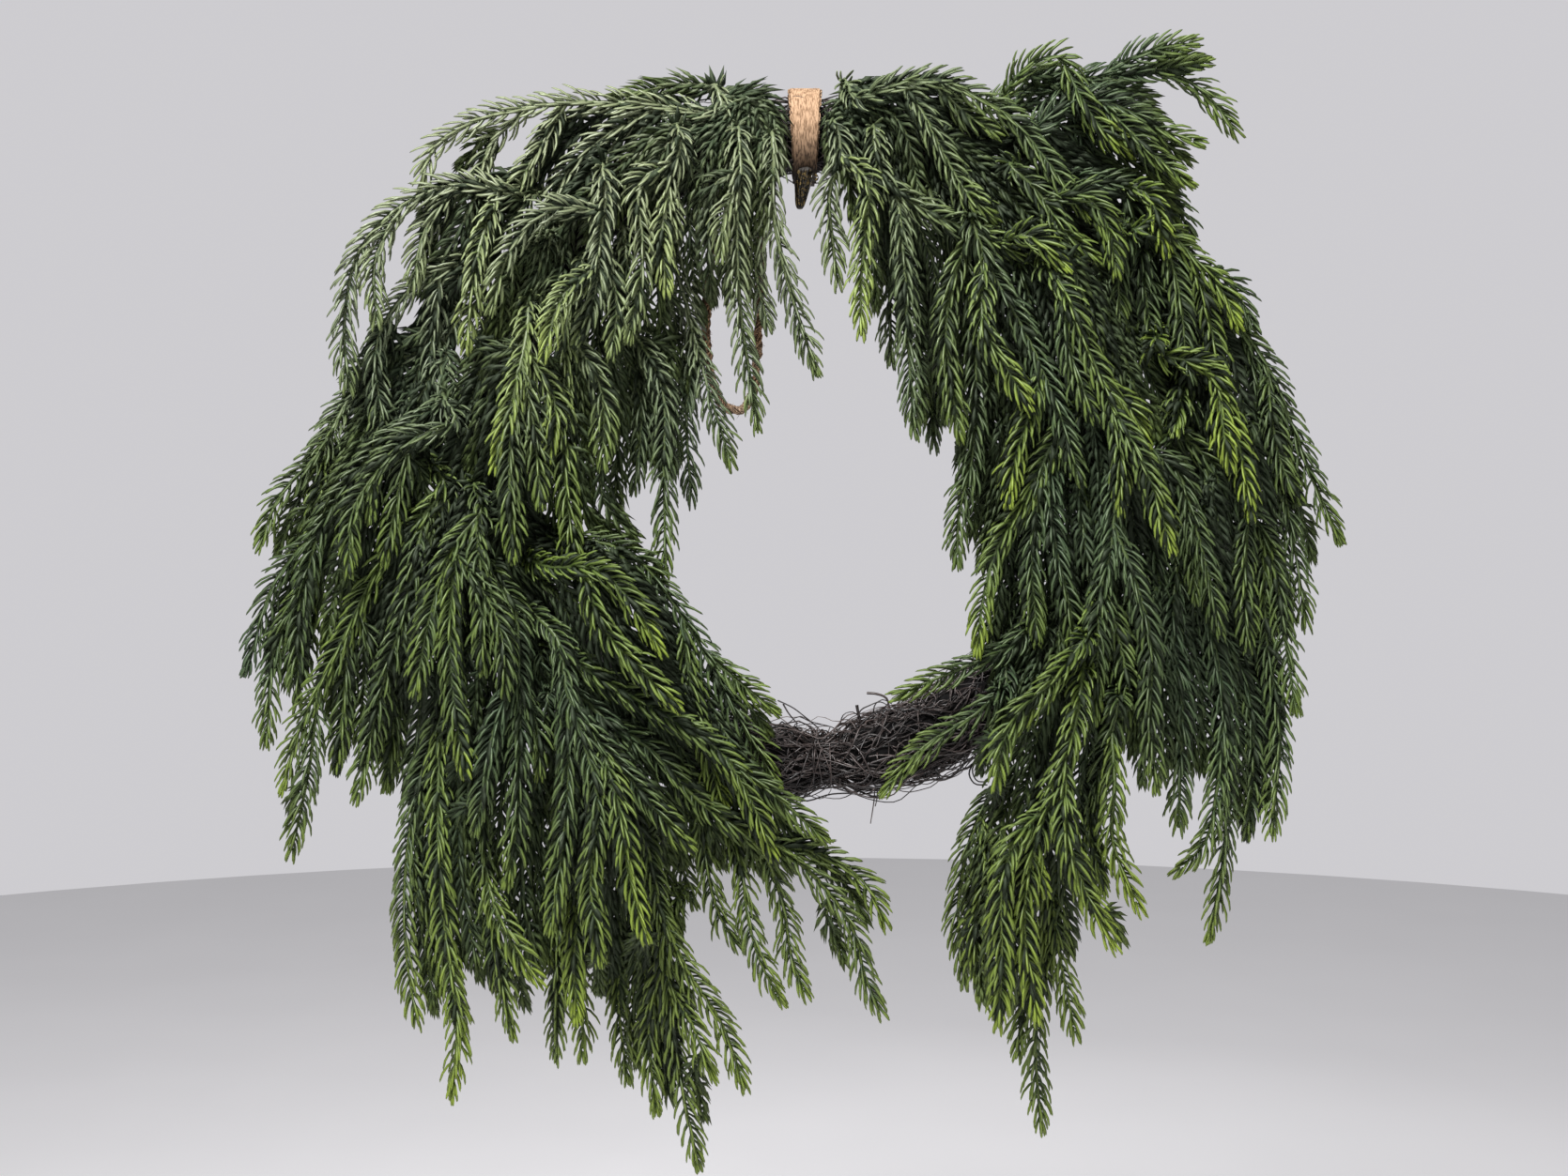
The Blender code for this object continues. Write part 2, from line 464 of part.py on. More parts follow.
def make_band(home, cutters):
    """The jute strap: a short drum, tapered below, flat at the wall, with the ring's bore through it."""
    centre = Vector((0.0, RING_CENTRE[1], -BAND_RADIUS))
    along_x = Matrix.Rotation(math.radians(90), 3, "Y")
    bm = bmesh.new()
    bmesh.ops.create_cone(
        bm,
        cap_ends=True,
        segments=32,
        radius1=BAND_FLAT_RADIUS,
        radius2=BAND_FLAT_RADIUS,
        depth=1.0,
    )
    bmesh.ops.rotate(bm, verts=bm.verts, cent=(0, 0, 0), matrix=along_x)
    for vertex in bm.verts:
        round_share = 1.0 if vertex.co.y > 0 else BAND_RADIUS / BAND_FLAT_RADIUS
        low = 0.5 - 0.5 * vertex.co.z / BAND_FLAT_RADIUS
        width = BAND_TOP_WIDTH + (BAND_LOW_WIDTH - BAND_TOP_WIDTH) * low
        height = min(BAND_RADIUS, max(-BAND_RADIUS, vertex.co.z * round_share))
        vertex.co = Vector((vertex.co.x * width, min(vertex.co.y * round_share, BAND_RADIUS), height))
    mesh = bpy.data.meshes.new("jute_band")
    bm.to_mesh(mesh)
    bm.free()
    band = new_object("jute_band", mesh, (0.45, 0.28, 0.15), 0.9, home)
    band.location = centre

    bm = bmesh.new()
    bmesh.ops.create_cone(
        bm, cap_ends=True, segments=32, radius1=BAND_BORE, radius2=BAND_BORE, depth=3 * BAND_TOP_WIDTH
    )
    bmesh.ops.rotate(bm, verts=bm.verts, cent=(0, 0, 0), matrix=along_x)
    bore_mesh = bpy.data.meshes.new("band_bore")
    bm.to_mesh(bore_mesh)
    bm.free()
    bore = bpy.data.objects.new("band_bore", bore_mesh)
    bore.location = centre
    bore.hide_render = True
    bore.display_type = "WIRE"
    cutters.objects.link(bore)
    cut = band.modifiers.new("bore", "BOOLEAN")
    cut.operation = "DIFFERENCE"
    cut.object = bore
    return band


def grow(bm, rings):
    """One closed body through rings of points: a cone's two ends, then its end face extruded on and on.

    Returns the side faces of each length between two rings, and the end face.
    """
    count = len(rings[0])
    made = bmesh.ops.create_cone(bm, cap_ends=True, segments=count, radius1=1, radius2=1, depth=1)["verts"]
    turn = {vertex: round(math.atan2(vertex.co.y, vertex.co.x), 3) % math.tau for vertex in made}
    low = sorted((vertex for vertex in made if vertex.co.z < 0), key=turn.get)
    high = sorted((vertex for vertex in made if vertex.co.z > 0), key=turn.get)
    end = next(face for face in high[0].link_faces if len(set(face.verts) & set(high)) == count)
    number = {vertex: i for i, vertex in enumerate(high)}
    for i in range(count):
        low[i].co = rings[0][i]
        high[i].co = rings[1][i]
    sides = []
    for ring in list(rings[2:]) + [None]:
        walls = [None] * count
        for loop in end.loops:
            pair = {number[loop.vert], number[loop.link_loop_next.vert]}
            k = max(pair) if pair == {0, count - 1} else min(pair)
            walls[k] = next(face for face in loop.edge.link_faces if face is not end)
        sides.append(walls)
        if ring is None:
            break
        order = [number[vertex] for vertex in end.verts]
        end = bmesh.ops.extrude_discrete_faces(bm, faces=[end])["faces"][0]
        number = dict(zip(end.verts, order))
        for vertex, i in number.items():
            vertex.co = ring[i]
    return sides, end


def make_end(home):
    """The fluted piece under the band: a lobed stub that narrows to a round end."""
    flutes = 8
    stations = (
        (0.0, 0.0044), (0.004, 0.0047), (0.008, 0.0045), (0.012, 0.0036), (0.0155, 0.0027), (0.0178, 0.0014),
    )
    top = Vector((-0.0008, RING_CENTRE[1] - 0.006, -2 * BAND_RADIUS - SEAT_GAP))
    rings = []
    for down, radius in stations:
        ring = []
        for i in range(2 * flutes):
            turn = math.pi * i / flutes
            reach = radius * (1.0 if i % 2 else 0.84)
            drift = -0.12 * down
            ring.append(Vector((drift + reach * math.cos(turn), -reach * math.sin(turn), -down)))
        rings.append(ring)
    bm = bmesh.new()
    grow(bm, rings)
    bmesh.ops.recalc_face_normals(bm, faces=bm.faces)
    mesh = bpy.data.meshes.new("fluted_end")
    bm.to_mesh(mesh)
    bm.free()
    stub = new_object("fluted_end", mesh, (0.16, 0.085, 0.035), 0.3, home)
    stub.location = top
    return stub


def make_loop(home):
    """The jute's loose end: a round cord on one smooth route, welded shut at its caps."""
    route = smooth_path(LOOP_ROUTE, 0.0005)
    picks = np.linspace(0, len(route) - 1, LOOP_POINTS).round().astype(int)
    curve = bpy.data.curves.new("loop_path", "CURVE")
    curve.dimensions = "3D"
    curve.bevel_depth = LOOP_RADIUS
    curve.bevel_resolution = 2
    curve.use_fill_caps = True
    spline = curve.splines.new("POLY")
    spline.points.add(LOOP_POINTS - 1)
    for point, place in zip(spline.points, route[picks]):
        point.co = (*place, 1.0)
    piece = new_object("spare_loop", curve, (0.30, 0.20, 0.12), 0.9, home)
    return piece


def lay_tails(ring_tree):
    """Every tail as a path, with its spray's number, its look and the tail and point that it leaves."""
    tails = []
    for number, (_, clock, face, depth, routes) in enumerate(SPRAYS):
        root, normal = ring_point(math.radians(clock), math.radians(face))
        ground = ring_tree.ray_cast(Vector(root + 0.02 * normal), Vector(-normal))[0]
        root = np.array(ground) + SEAT_GAP * normal
        leader = len(tails)
        for i, (look, *route) in enumerate(routes):
            layer = depth / 1000 + LOOK_DEPTH[look] + (0.0, 0.005, -0.005, 0.010, -0.010)[i % 5]
            if i == 0:
                start = [root, root + LEAD_OUT * normal]
                joint = None
                first = seen(*route[0], (layer + LEAD_OUT - start[1][1]) / 2)
                start.append(first)
            else:
                path = tails[leader]["path"]
                reach = [np.linalg.norm(seen(*route[0], -place[1]) - place) for place in path]
                joint = int(np.argmin(reach))
                start = [path[joint]]
            places = start + [seen(*spot, layer) for spot in route[1:]]
            places[-1] = places[-1] - TIP_TRIM * unit(places[-1] - places[-2])
            tails.append({
                "spray": number,
                "look": look,
                "leader": leader if i else None,
                "joint": joint,
                "out": normal,
                "path": smooth_path(places, STEP),
            })
    return tails


def settle(tails, fixed):
    """Moves tails nearer or farther along the sight lines until those of different sprays pass clear."""
    sizes = [len(tail["path"]) for tail in tails]
    starts = np.concatenate(((0,), np.cumsum(sizes)))
    points = np.concatenate([tail["path"] for tail in tails] + [fixed])
    spray = np.concatenate(
        [np.full(size, tail["spray"]) for size, tail in zip(sizes, tails)] + [np.full(len(fixed), -1)]
    )
    free = np.zeros(len(points))
    for tail, start, size in zip(tails, starts, sizes):
        away = lengths_along(tail["path"])
        free[start:start + size] = np.clip((away - 0.008) / 0.014, 0.0, 1.0)
    for _ in range(ROUNDS):
        tree = KDTree(len(points))
        for i, place in enumerate(points):
            tree.insert(place, i)
        tree.balance()
        push = np.zeros(len(points))
        for i in np.flatnonzero(spray >= 0):
            for _, j, _ in tree.find_range(points[i], CLEARANCE):
                if spray[j] == spray[i]:
                    continue
                between = points[i] - points[j]
                level = CLEARANCE**2 - between[0] ** 2 - between[2] ** 2
                ahead = -between[1]
                front = ahead > 0 if abs(ahead) > 1e-5 else spray[i] > spray[j]
                lack = math.sqrt(max(level, 0.0)) - abs(ahead)
                share = 0.5 if spray[j] >= 0 else 1.0
                push[i] += 0.5 * share * (lack if front else -lack)
        off_axis = np.hypot(points[:, 0] - RING_CENTRE[0], points[:, 2] - RING_CENTRE[2]) - RING_RADIUS
        room = (BUNDLE_RADIUS + RING_ROOM) ** 2 - off_axis**2
        ring_front = -RING_CENTRE[1] + np.sqrt(np.maximum(room, 0.0))
        depth = -points[:, 1]
        near_ring = (room > 0) & (depth < ring_front)
        push[near_ring] += 0.6 * (ring_front - depth)[near_ring]
        push += 0.5 * np.maximum(LEAST_DEPTH - depth, 0.0) - 0.5 * np.maximum(depth - MOST_DEPTH, 0.0)
        push = np.clip(push, -0.004, 0.004)
        for tail, start, size in zip(tails, starts, sizes):
            part = push[start:start + size] * free[start:start + size]
            for _ in range(3):
                part[1:-1] = 0.25 * part[:-2] + 0.5 * part[1:-1] + 0.25 * part[2:]
            if tail["leader"] is not None:
                carried = push[starts[tail["leader"]] + tail["joint"]]
                part += carried * (1.0 - free[start:start + size])
            push[start:start + size] = part
        push[spray < 0] = 0.0
        sight = (points - EYE) / (points[:, 1] - EYE[1])[:, None]
        points = points - sight * push[:, None]
    for tail, start, size in zip(tails, starts, sizes):
        tail["path"] = points[start:start + size]


def place_on(path, away, s):
    return np.array([np.interp(s, away, path[:, k]) for k in range(3)])


def nearest_on(line, place):
    """The point of a line of straight lengths that is nearest to a place."""
    found = []
    for low, high in zip(line, line[1:]):
        share = np.clip(np.dot(place - low, high - low) / np.dot(high - low, high - low), 0.0, 1.0)
        found.append(low + share * (high - low))
    return min(found, key=lambda spot: np.linalg.norm(spot - place))


def corners(section):
    """The three corners of a cross-section."""
    up = np.cross(section["ahead"], section["side"])
    turns = [math.radians(120 * k) for k in range(3)]
    return [
        section["centre"] + section["radius"] * (math.cos(turn) * section["side"] + math.sin(turn) * up)
        for turn in turns
    ]


def seat(section, out, ring_tree):
    """Moves a leader's root out until its nearest point stands just off the ring."""
    ends = corners(section)
    middles = [(ends[k] + ends[k - 1]) / 2 for k in range(3)]
    nearest = []
    for place in ends + middles + [section["centre"]]:
        spot, normal, _, _ = ring_tree.find_nearest(Vector(place))
        nearest.append((Vector(place) - spot).dot(normal))
    section["centre"] = section["centre"] + (SEAT_GAP - min(nearest)) * out


def plan_sections(tail, core, ring_tree):
    """The cross-sections of a tail's core, and the stations where three needles stand round it."""
    path = tail["path"]
    away = lengths_along(path)
    length = away[-1]
    first = 0.024 if tail["leader"] is None else 0.016
    last = length - 0.0035
    count = max(1, round((last - first) / NEEDLE_PITCH)) + 1
    thick = LEADER_RADIUS if tail["leader"] is None else BRANCH_RADIUS
    spots = [(0.0, 0)]
    for i, s in enumerate(np.linspace(first, last, count)):
        spots += [(s - NEEDLE_ROOT, i), (s + NEEDLE_ROOT, i)]
    spots.append((length + 0.0008, count - 1))
    sections = []
    across = None
    for s, turn in spots:
        ahead = place_on(path, away, min(s + 0.002, length)) - place_on(path, away, max(s - 0.002, 0.0))
        ahead = unit(ahead)
        if across is None:
            across = np.cross(ahead, (0.0, 1.0, 0.0))
        across = unit(across - np.dot(across, ahead) * ahead)
        spin = math.radians(60 * turn)
        side = math.cos(spin) * across + math.sin(spin) * np.cross(ahead, across)
        radius = thick + (TIP_RADIUS - thick) * s / length
        centre = place_on(path, away, s) + max(0.0, s - length) * ahead
        sections.append({"centre": centre, "ahead": ahead, "side": side, "radius": radius})
    sections[-1]["radius"] *= 0.7
    if tail["leader"] is None:
        seat(sections[0], tail["out"], ring_tree)
    else:
        sections[0]["centre"] = nearest_on(core, sections[0]["centre"])
    tail["sections"] = sections
    tail["stations"] = count


def approach(start, end, rods):
    """Where one straight length and each of many others are nearest: both shares, and the way between."""
    along = end - start
    lengths = rods[:, 3:6] - rods[:, 0:3]
    apart = start - rods[:, 0:3]
    a = along @ along
    e = np.einsum("ij,ij->i", lengths, lengths)
    b = lengths @ along
    c = apart @ along
    f = np.einsum("ij,ij->i", lengths, apart)
    spread = a * e - b * b
    s = np.clip(np.where(spread > 1e-15, (b * f - c * e) / np.maximum(spread, 1e-15), 0.5), 0.0, 1.0)
    t = np.clip((b * s + f) / e, 0.0, 1.0)
    s = np.clip((b * t - c) / a, 0.0, 1.0)
    return s, t, apart + s[:, None] * along - t[:, None] * lengths


def core_rods(tails):
    """A row for each straight length of a core: its two ends, the radius at each, its spray, its tail."""
    rows = []
    for number, tail in enumerate(tails):
        for low, high in zip(tail["sections"], tail["sections"][1:]):
            radii = (low["radius"], high["radius"])
            rows.append((*low["centre"], *high["centre"], *radii, tail["spray"], number))
    return np.array(rows)


def plan_cores(tails, ring_tree):
    """Plans every core, then moves apart in depth those that touch where they cut a path's corners."""
    for _ in range(CORE_ROUNDS):
        for tail in tails:
            leader = tails[tail["leader"]]["sections"] if tail["leader"] is not None else []
            plan_sections(tail, [section["centre"] for section in leader], ring_tree)
        rods = core_rods(tails)
        moves = []
        for rod in rods:
            near = rods[(np.abs(rods[:, 0:3] - rod[0:3]).max(axis=1) < 0.08) & (rods[:, 8] > rod[8])]
            s, t, between = approach(rod[0:3], rod[3:6], near)
            radii = rod[6] + (rod[7] - rod[6]) * s + near[:, 6] + (near[:, 7] - near[:, 6]) * t
            lack = radii + CORE_ROOM - np.linalg.norm(between, axis=1)
            for k in np.flatnonzero(lack > 0):
                push = lack[k] if between[k][1] < 0 else -lack[k]
                moves.append((int(rod[9]), rod[0:3] + s[k] * (rod[3:6] - rod[0:3]), push))
                moves.append((int(near[k, 9]), near[k, 0:3] + t[k] * (near[k, 3:6] - near[k, 0:3]), -push))
        if not moves:
            break
        for number, place, push in moves:
            path = tails[number]["path"]
            away = lengths_along(path)
            middle = away[int(np.argmin(np.linalg.norm(path - place, axis=1)))]
            share = np.exp(-(((away - middle) / 0.03) ** 2)) * np.clip((away - 0.008) / 0.014, 0.0, 1.0)
            sight = (path - EYE) / (path[:, 1] - EYE[1])[:, None]
            tails[number]["path"] = path - sight * (0.8 * push * share)[:, None]


def clear_of_base(place):
    """True where a needle's point is clear of the wall, the ring, the band, the stub and the hole."""
    x, y, z = place
    off_axis = math.hypot(x - RING_CENTRE[0], z - RING_CENTRE[2]) - RING_RADIUS
    if y > -0.0015 or math.hypot(off_axis, y - RING_CENTRE[1]) < BUNDLE_RADIUS + 0.0042:
        return False
    if abs(x) < 0.0115 and math.hypot(y - RING_CENTRE[1], z + BAND_RADIUS) < BAND_FLAT_RADIUS + 0.002:
        return False
    if abs(x) < 0.009 and -0.045 < y < -0.020 and -0.075 < z < -0.04:
        return False
    return not any(all(low[k] - 0.001 < place[k] < high[k] + 0.001 for k in range(3)) for low, high in HOLE)


def needle_fits(foot, tip, tail, number, rods):
    """True where a needle crosses no other spray, and nothing of its own tail beyond its foot."""
    if not (clear_of_base(tip) and clear_of_base((foot + tip) / 2)):
        return False
    rods = rods[np.abs(rods[:, 0:3] - foot).max(axis=1) < 0.07]
    outer = foot + 0.6 * (tip - foot)
    for start, width, others in (
        (foot, NEEDLE_WIDTH / 2, rods[rods[:, 8] != tail["spray"]]),
        (outer, NEEDLE_WIDTH / 5, rods[rods[:, 9] == number]),
    ):
        s, t, between = approach(start, tip, others)
        wide = width * (1.0 - s) + others[:, 6] + (others[:, 7] - others[:, 6]) * t
        if (np.linalg.norm(between, axis=1) < wide + NEEDLE_ROOM).any():
            return False
    return True


def plan_needles(tails, loop_path):
    """Each needle's tip, turned or closed where it would cross something, or left out."""
    loop = [(*low, *high, LOOP_RADIUS, LOOP_RADIUS, -1, -1) for low, high in zip(loop_path, loop_path[1:])]
    rods = np.vstack((core_rods(tails), loop))
    rng = np.random.default_rng(4)
    rolls = (0, 18, -18, 36, -36, 52, -52)
    for number, tail in enumerate(tails):
        tail["tips"] = []
        for station in range(tail["stations"] + 1):
            at_end = station == tail["stations"]
            section = tail["sections"][-1 if at_end else 1 + 2 * station]
            ahead = section["ahead"]
            side = section["side"]
            up = np.cross(ahead, side)
            for wall in range(1 if at_end else 3):
                face = math.radians(120 * wall + 60)
                foot = section["centre"].copy()
                if at_end:
                    trials = [(TIP_LENGTH, 0, 0), (0.6 * TIP_LENGTH, 0, 0)]
                else:
                    foot += NEEDLE_ROOT * ahead
                    foot += 0.5 * section["radius"] * (math.cos(face) * side + math.sin(face) * up)
                    length = NEEDLE_LENGTH * rng.uniform(0.9, 1.1)
                    leans = (NEEDLE_OPENING, NEEDLE_OPENING - 10, NEEDLE_OPENING + 12)
                    if station == tail["stations"] - 1:
                        length = 1.2 * TIP_LENGTH
                        leans = (TIP_OPENING, TIP_OPENING - 10)
                    trials = [(length, lean, roll) for lean in leans for roll in rolls]
                    trials += [(0.75 * length, lean, roll) for lean in leans for roll in rolls]
                found = None
                for length, lean, roll in trials:
                    turn = face + math.radians(roll)
                    out = math.cos(turn) * side + math.sin(turn) * up
                    lean = math.radians(lean)
                    tip = foot + length * (math.cos(lean) * ahead + math.sin(lean) * out)
                    if needle_fits(foot, tip, tail, number, rods):
                        found = tip
                        break
                if found is not None:
                    row = (*foot, *found, NEEDLE_WIDTH / 2, 0.0, tail["spray"], number)
                    rods = np.vstack((rods, row))
                    tail["tips"].append((station, wall, found))


def make_tail(tail):
    """A tail's mesh: its three-sided core, grown section by section, and the needles raised from it."""
    rings = [[Vector(corner) for corner in corners(section)] for section in tail["sections"]]
    bm = bmesh.new()
    sides, end = grow(bm, rings)
    for station, wall, tip in tail["tips"]:
        face = end if station == tail["stations"] else sides[1 + 2 * station][wall]
        raised = bmesh.ops.poke(bm, faces=[face])["verts"][0]
        raised.co = Vector(tip)
    bmesh.ops.triangulate(bm, faces=[face for face in bm.faces if len(face.verts) > 3])
    bmesh.ops.recalc_face_normals(bm, faces=bm.faces)
    mesh = bpy.data.meshes.new("tail")
    bm.to_mesh(mesh)
    bm.free()
    return mesh


def make_spray(number, tails, home):
    """One spray: the leader, with its side tails joined to it by a single union."""
    name = SPRAYS[number][0]
    own = [tail for tail in tails if tail["spray"] == number]
    meshes = [make_tail(tail) for tail in own]
    looks = [tail["look"] for tail in own]
    colour = tuple(sum(LOOK_COLOUR[look][c] for look in looks) / len(looks) for c in range(3))
    spray = new_object(name, meshes[0], colour, 0.45, home)
    if len(meshes) > 1:
        joined = bpy.data.collections.new(name + "_tails")
        bpy.context.scene.collection.children.link(joined)
        for mesh in meshes[1:]:
            joined.objects.link(bpy.data.objects.new("tail", mesh))
        union = spray.modifiers.new("join", "BOOLEAN")
        union.operation = "UNION"
        union.operand_type = "COLLECTION"
        union.solver = "MANIFOLD"
        union.collection = joined
        bpy.context.view_layer.objects.active = spray
        bpy.ops.object.modifier_apply(modifier="join")
        for helper in list(joined.objects):
            bpy.data.objects.remove(helper)
        bpy.data.collections.remove(joined)
    return spray


def main():
    for leftover in list(bpy.data.objects):
        bpy.data.objects.remove(leftover)
    home = bpy.data.collections.new("pine_wreath")
    cutters = bpy.data.collections.new("cutters")
    for collection in (home, cutters):
        bpy.context.scene.collection.children.link(collection)
    ring = make_ring(home)
    make_band(home, cutters)
    make_end(home)
    make_loop(home)
    loop_path = smooth_path(LOOP_ROUTE, 2 * STEP)
    surface = bmesh.new()
    surface.from_mesh(ring.data)
    bmesh.ops.translate(surface, verts=surface.verts, vec=RING_CENTRE)
    ring_tree = BVHTree.FromBMesh(surface)
    surface.free()
    tails = lay_tails(ring_tree)
    settle(tails, loop_path)
    plan_cores(tails, ring_tree)
    plan_needles(tails, loop_path)
    for number in range(len(SPRAYS)):
        make_spray(number, tails, home)


main()
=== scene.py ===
"""The look of the pine wreath: needled sprays on a ring of wound vines, with a jute band and a loose end.

Metres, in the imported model's frame: the wall is the plane y = 0, the front faces -Y, and the origin is
where the wreath hangs.
"""

import math

import bpy
import numpy as np
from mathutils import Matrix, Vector
from mathutils.kdtree import KDTree


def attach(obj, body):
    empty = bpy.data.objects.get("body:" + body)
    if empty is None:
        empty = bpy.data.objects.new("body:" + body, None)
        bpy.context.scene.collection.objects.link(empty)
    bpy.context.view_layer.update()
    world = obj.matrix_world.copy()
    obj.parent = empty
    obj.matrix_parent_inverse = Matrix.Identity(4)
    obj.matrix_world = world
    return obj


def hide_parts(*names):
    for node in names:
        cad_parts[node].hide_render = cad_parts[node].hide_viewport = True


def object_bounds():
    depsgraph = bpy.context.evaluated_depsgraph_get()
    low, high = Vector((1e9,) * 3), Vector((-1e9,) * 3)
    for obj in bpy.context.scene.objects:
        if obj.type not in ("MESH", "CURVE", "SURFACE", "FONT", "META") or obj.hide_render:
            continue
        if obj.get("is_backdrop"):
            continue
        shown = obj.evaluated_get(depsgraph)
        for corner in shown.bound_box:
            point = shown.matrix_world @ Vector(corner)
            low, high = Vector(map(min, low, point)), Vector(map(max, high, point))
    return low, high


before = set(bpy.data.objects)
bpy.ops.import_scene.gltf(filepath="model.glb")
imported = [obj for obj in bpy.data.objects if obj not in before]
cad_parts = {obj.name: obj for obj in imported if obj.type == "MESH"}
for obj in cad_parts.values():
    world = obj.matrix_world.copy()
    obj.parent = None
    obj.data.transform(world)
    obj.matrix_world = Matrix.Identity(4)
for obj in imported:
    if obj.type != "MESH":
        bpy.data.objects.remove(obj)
cad_low, cad_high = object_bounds()


# The camera stands square to the wall and level, a little left of the band and below it.
EYE = np.array((-0.0115, -0.9216, -0.276))
FILM_WIDTH = 36.0
FOCAL_PIXELS = 1716
PHOTO_PIXELS = 1670
bpy.ops.object.camera_add(location=EYE, rotation=(math.radians(90), 0, 0))
camera = bpy.context.object
camera.data.sensor_width = FILM_WIDTH
camera.data.lens = FILM_WIDTH * FOCAL_PIXELS / PHOTO_PIXELS
camera.data.clip_start = 0.01
bpy.context.scene.camera = camera


# The spare loop: the jute band's loose end, a soft cord of thin, loosely twisted yarns. It leaves the
# ring's under side behind the upper left sprays, hangs as a loop and goes back into the windings.
LOOP_STEP = 0.001
YARNS = 15
CORE_YARNS = 5
CORE_REACH = 0.0009
OUTER_REACH = 0.0020
LOOP_HAIRS = 150
HAIR_POINTS = 6
HAIR_STEP = 0.0005
LOOP_ROUTE = (
    (-0.0490, -0.0243, -0.0565),
    (-0.0502, -0.0236, -0.0680),
    (-0.0524, -0.0215, -0.0900),
    (-0.0545, -0.0190, -0.1150),
    (-0.0548, -0.0170, -0.1400),
    (-0.0515, -0.0160, -0.1600),
    (-0.0450, -0.0160, -0.1735),
    (-0.0365, -0.0162, -0.1765),
    (-0.0300, -0.0170, -0.1690),
    (-0.0268, -0.0185, -0.1500),
    (-0.0255, -0.0205, -0.1250),
    (-0.0245, -0.0225, -0.0950),
    (-0.0238, -0.0236, -0.0680),
    (-0.0237, -0.0243, -0.0512),
)


def strands(name, lines, radii, sides=0):
    """One mesh of many thin round strands, each along its own points, made as a curve with a bevel."""
    curve = bpy.data.curves.new(name, "CURVE")
    curve.dimensions = "3D"
    curve.bevel_depth = 1.0
    curve.bevel_resolution = sides
    curve.use_fill_caps = True
    for points, radius in zip(lines, radii):
        spline = curve.splines.new("POLY")
        spline.points.add(len(points) - 1)
        spline.points.foreach_set("co", np.column_stack((points, np.ones(len(points)))).ravel())
        spline.points.foreach_set("radius", np.broadcast_to(radius, len(points)).astype(float).copy())
    made = bpy.data.objects.new(name, curve)
    bpy.context.scene.collection.objects.link(made)
    bpy.ops.object.select_all(action="DESELECT")
    made.select_set(True)
    bpy.context.view_layer.objects.active = made
    bpy.ops.object.convert(target="MESH")
    made = bpy.context.object
    made.name = name
    bpy.ops.object.shade_smooth()
    return made


def join(name, first, *others):
    """Joins objects into the first one, under a new name."""
    bpy.ops.object.select_all(action="DESELECT")
    for part in (first, *others):
        part.select_set(True)
    bpy.context.view_layer.objects.active = first
    bpy.ops.object.join()
    first.name = name
    first.data.name = name
    return first


def smooth_path(points, step):
    """Points a step apart along one smooth curve through the given points."""
    points = np.array(points, float)
    knots = np.concatenate(((0.0,), np.cumsum(np.linalg.norm(np.diff(points, axis=0), axis=1))))
    slopes = np.gradient(points, knots, axis=0)
    fine = []
    for i in range(len(points) - 1):
        span = knots[i + 1] - knots[i]
        t = np.linspace(0.0, 1.0, max(4, int(span / 0.001)), endpoint=False)[:, None]
        fine.append(
            (2 * t**3 - 3 * t**2 + 1) * points[i] + (t**3 - 2 * t**2 + t) * span * slopes[i]
            + (3 * t**2 - 2 * t**3) * points[i + 1] + (t**3 - t**2) * span * slopes[i + 1]
        )
    fine = np.concatenate(fine + [points[-1:]])
    along = lengths_along(fine)
    stops = np.linspace(0.0, along[-1], max(3, int(round(along[-1] / step)) + 1))
    return np.stack([np.interp(stops, along, fine[:, k]) for k in range(3)], axis=1)


def lengths_along(points):
    return np.concatenate(((0.0,), np.cumsum(np.linalg.norm(np.diff(points, axis=0), axis=1))))


rng = np.random.default_rng(7)


def wander(count, step, reach, shortest, longest):
    """A smooth random swing: a sum of waves between the shortest and the longest, in metres."""
    s = np.arange(count) * step
    swing = np.zeros(count)
    for _ in range(4):
        wave = math.exp(rng.uniform(math.log(shortest), math.log(longest)))
        swing += math.sqrt(wave / longest) * np.sin(math.tau * s / wave + rng.uniform(0, math.tau))
    return 0.6 * reach * swing


route = smooth_path(LOOP_ROUTE, LOOP_STEP)
along = lengths_along(route)
ahead = np.gradient(route, axis=0)
ahead /= np.linalg.norm(ahead, axis=1)[:, None]
across = np.cross(ahead, (0.0, 1.0, 0.0))
across /= np.linalg.norm(across, axis=1)[:, None]
back = np.cross(ahead, across)
bundle = []
for k in range(YARNS):
    turn = along / rng.uniform(0.013, 0.019) * math.tau + rng.uniform(0, math.tau)
    reach = OUTER_REACH if k >= CORE_YARNS else CORE_REACH
    reach = reach + wander(len(route), LOOP_STEP, 0.0005, 0.012, 0.04)
    bundle.append(route + (reach * np.cos(turn))[:, None] * across + (reach * np.sin(turn))[:, None] * back)
loop_yarns = strands("loop_yarns", [line[::2] for line in bundle], rng.uniform(0.00045, 0.00085, YARNS))
hairs = []
for _ in range(LOOP_HAIRS):
    i = int(rng.integers(4, len(route) - 12))
    turn = rng.uniform(0, math.tau)
    out = math.cos(turn) * across[i] + math.sin(turn) * back[i]
    steps = np.arange(HAIR_POINTS)[:, None] * HAIR_STEP
    lean = out + 1.1 * ahead[i] * rng.uniform(-1, 1)
    curl = np.cross(ahead[i], out) * rng.uniform(-0.6, 0.6)
    hairs.append(route[i] + 0.0016 * out + steps * lean + (steps / steps[-1]) ** 2 * 0.0008 * curl)
loop_hairs = strands("loop_hairs", hairs, [np.linspace(0.00013, 0.00005, HAIR_POINTS)] * LOOP_HAIRS)
loop = join("spare_loop_look", loop_yarns, loop_hairs)


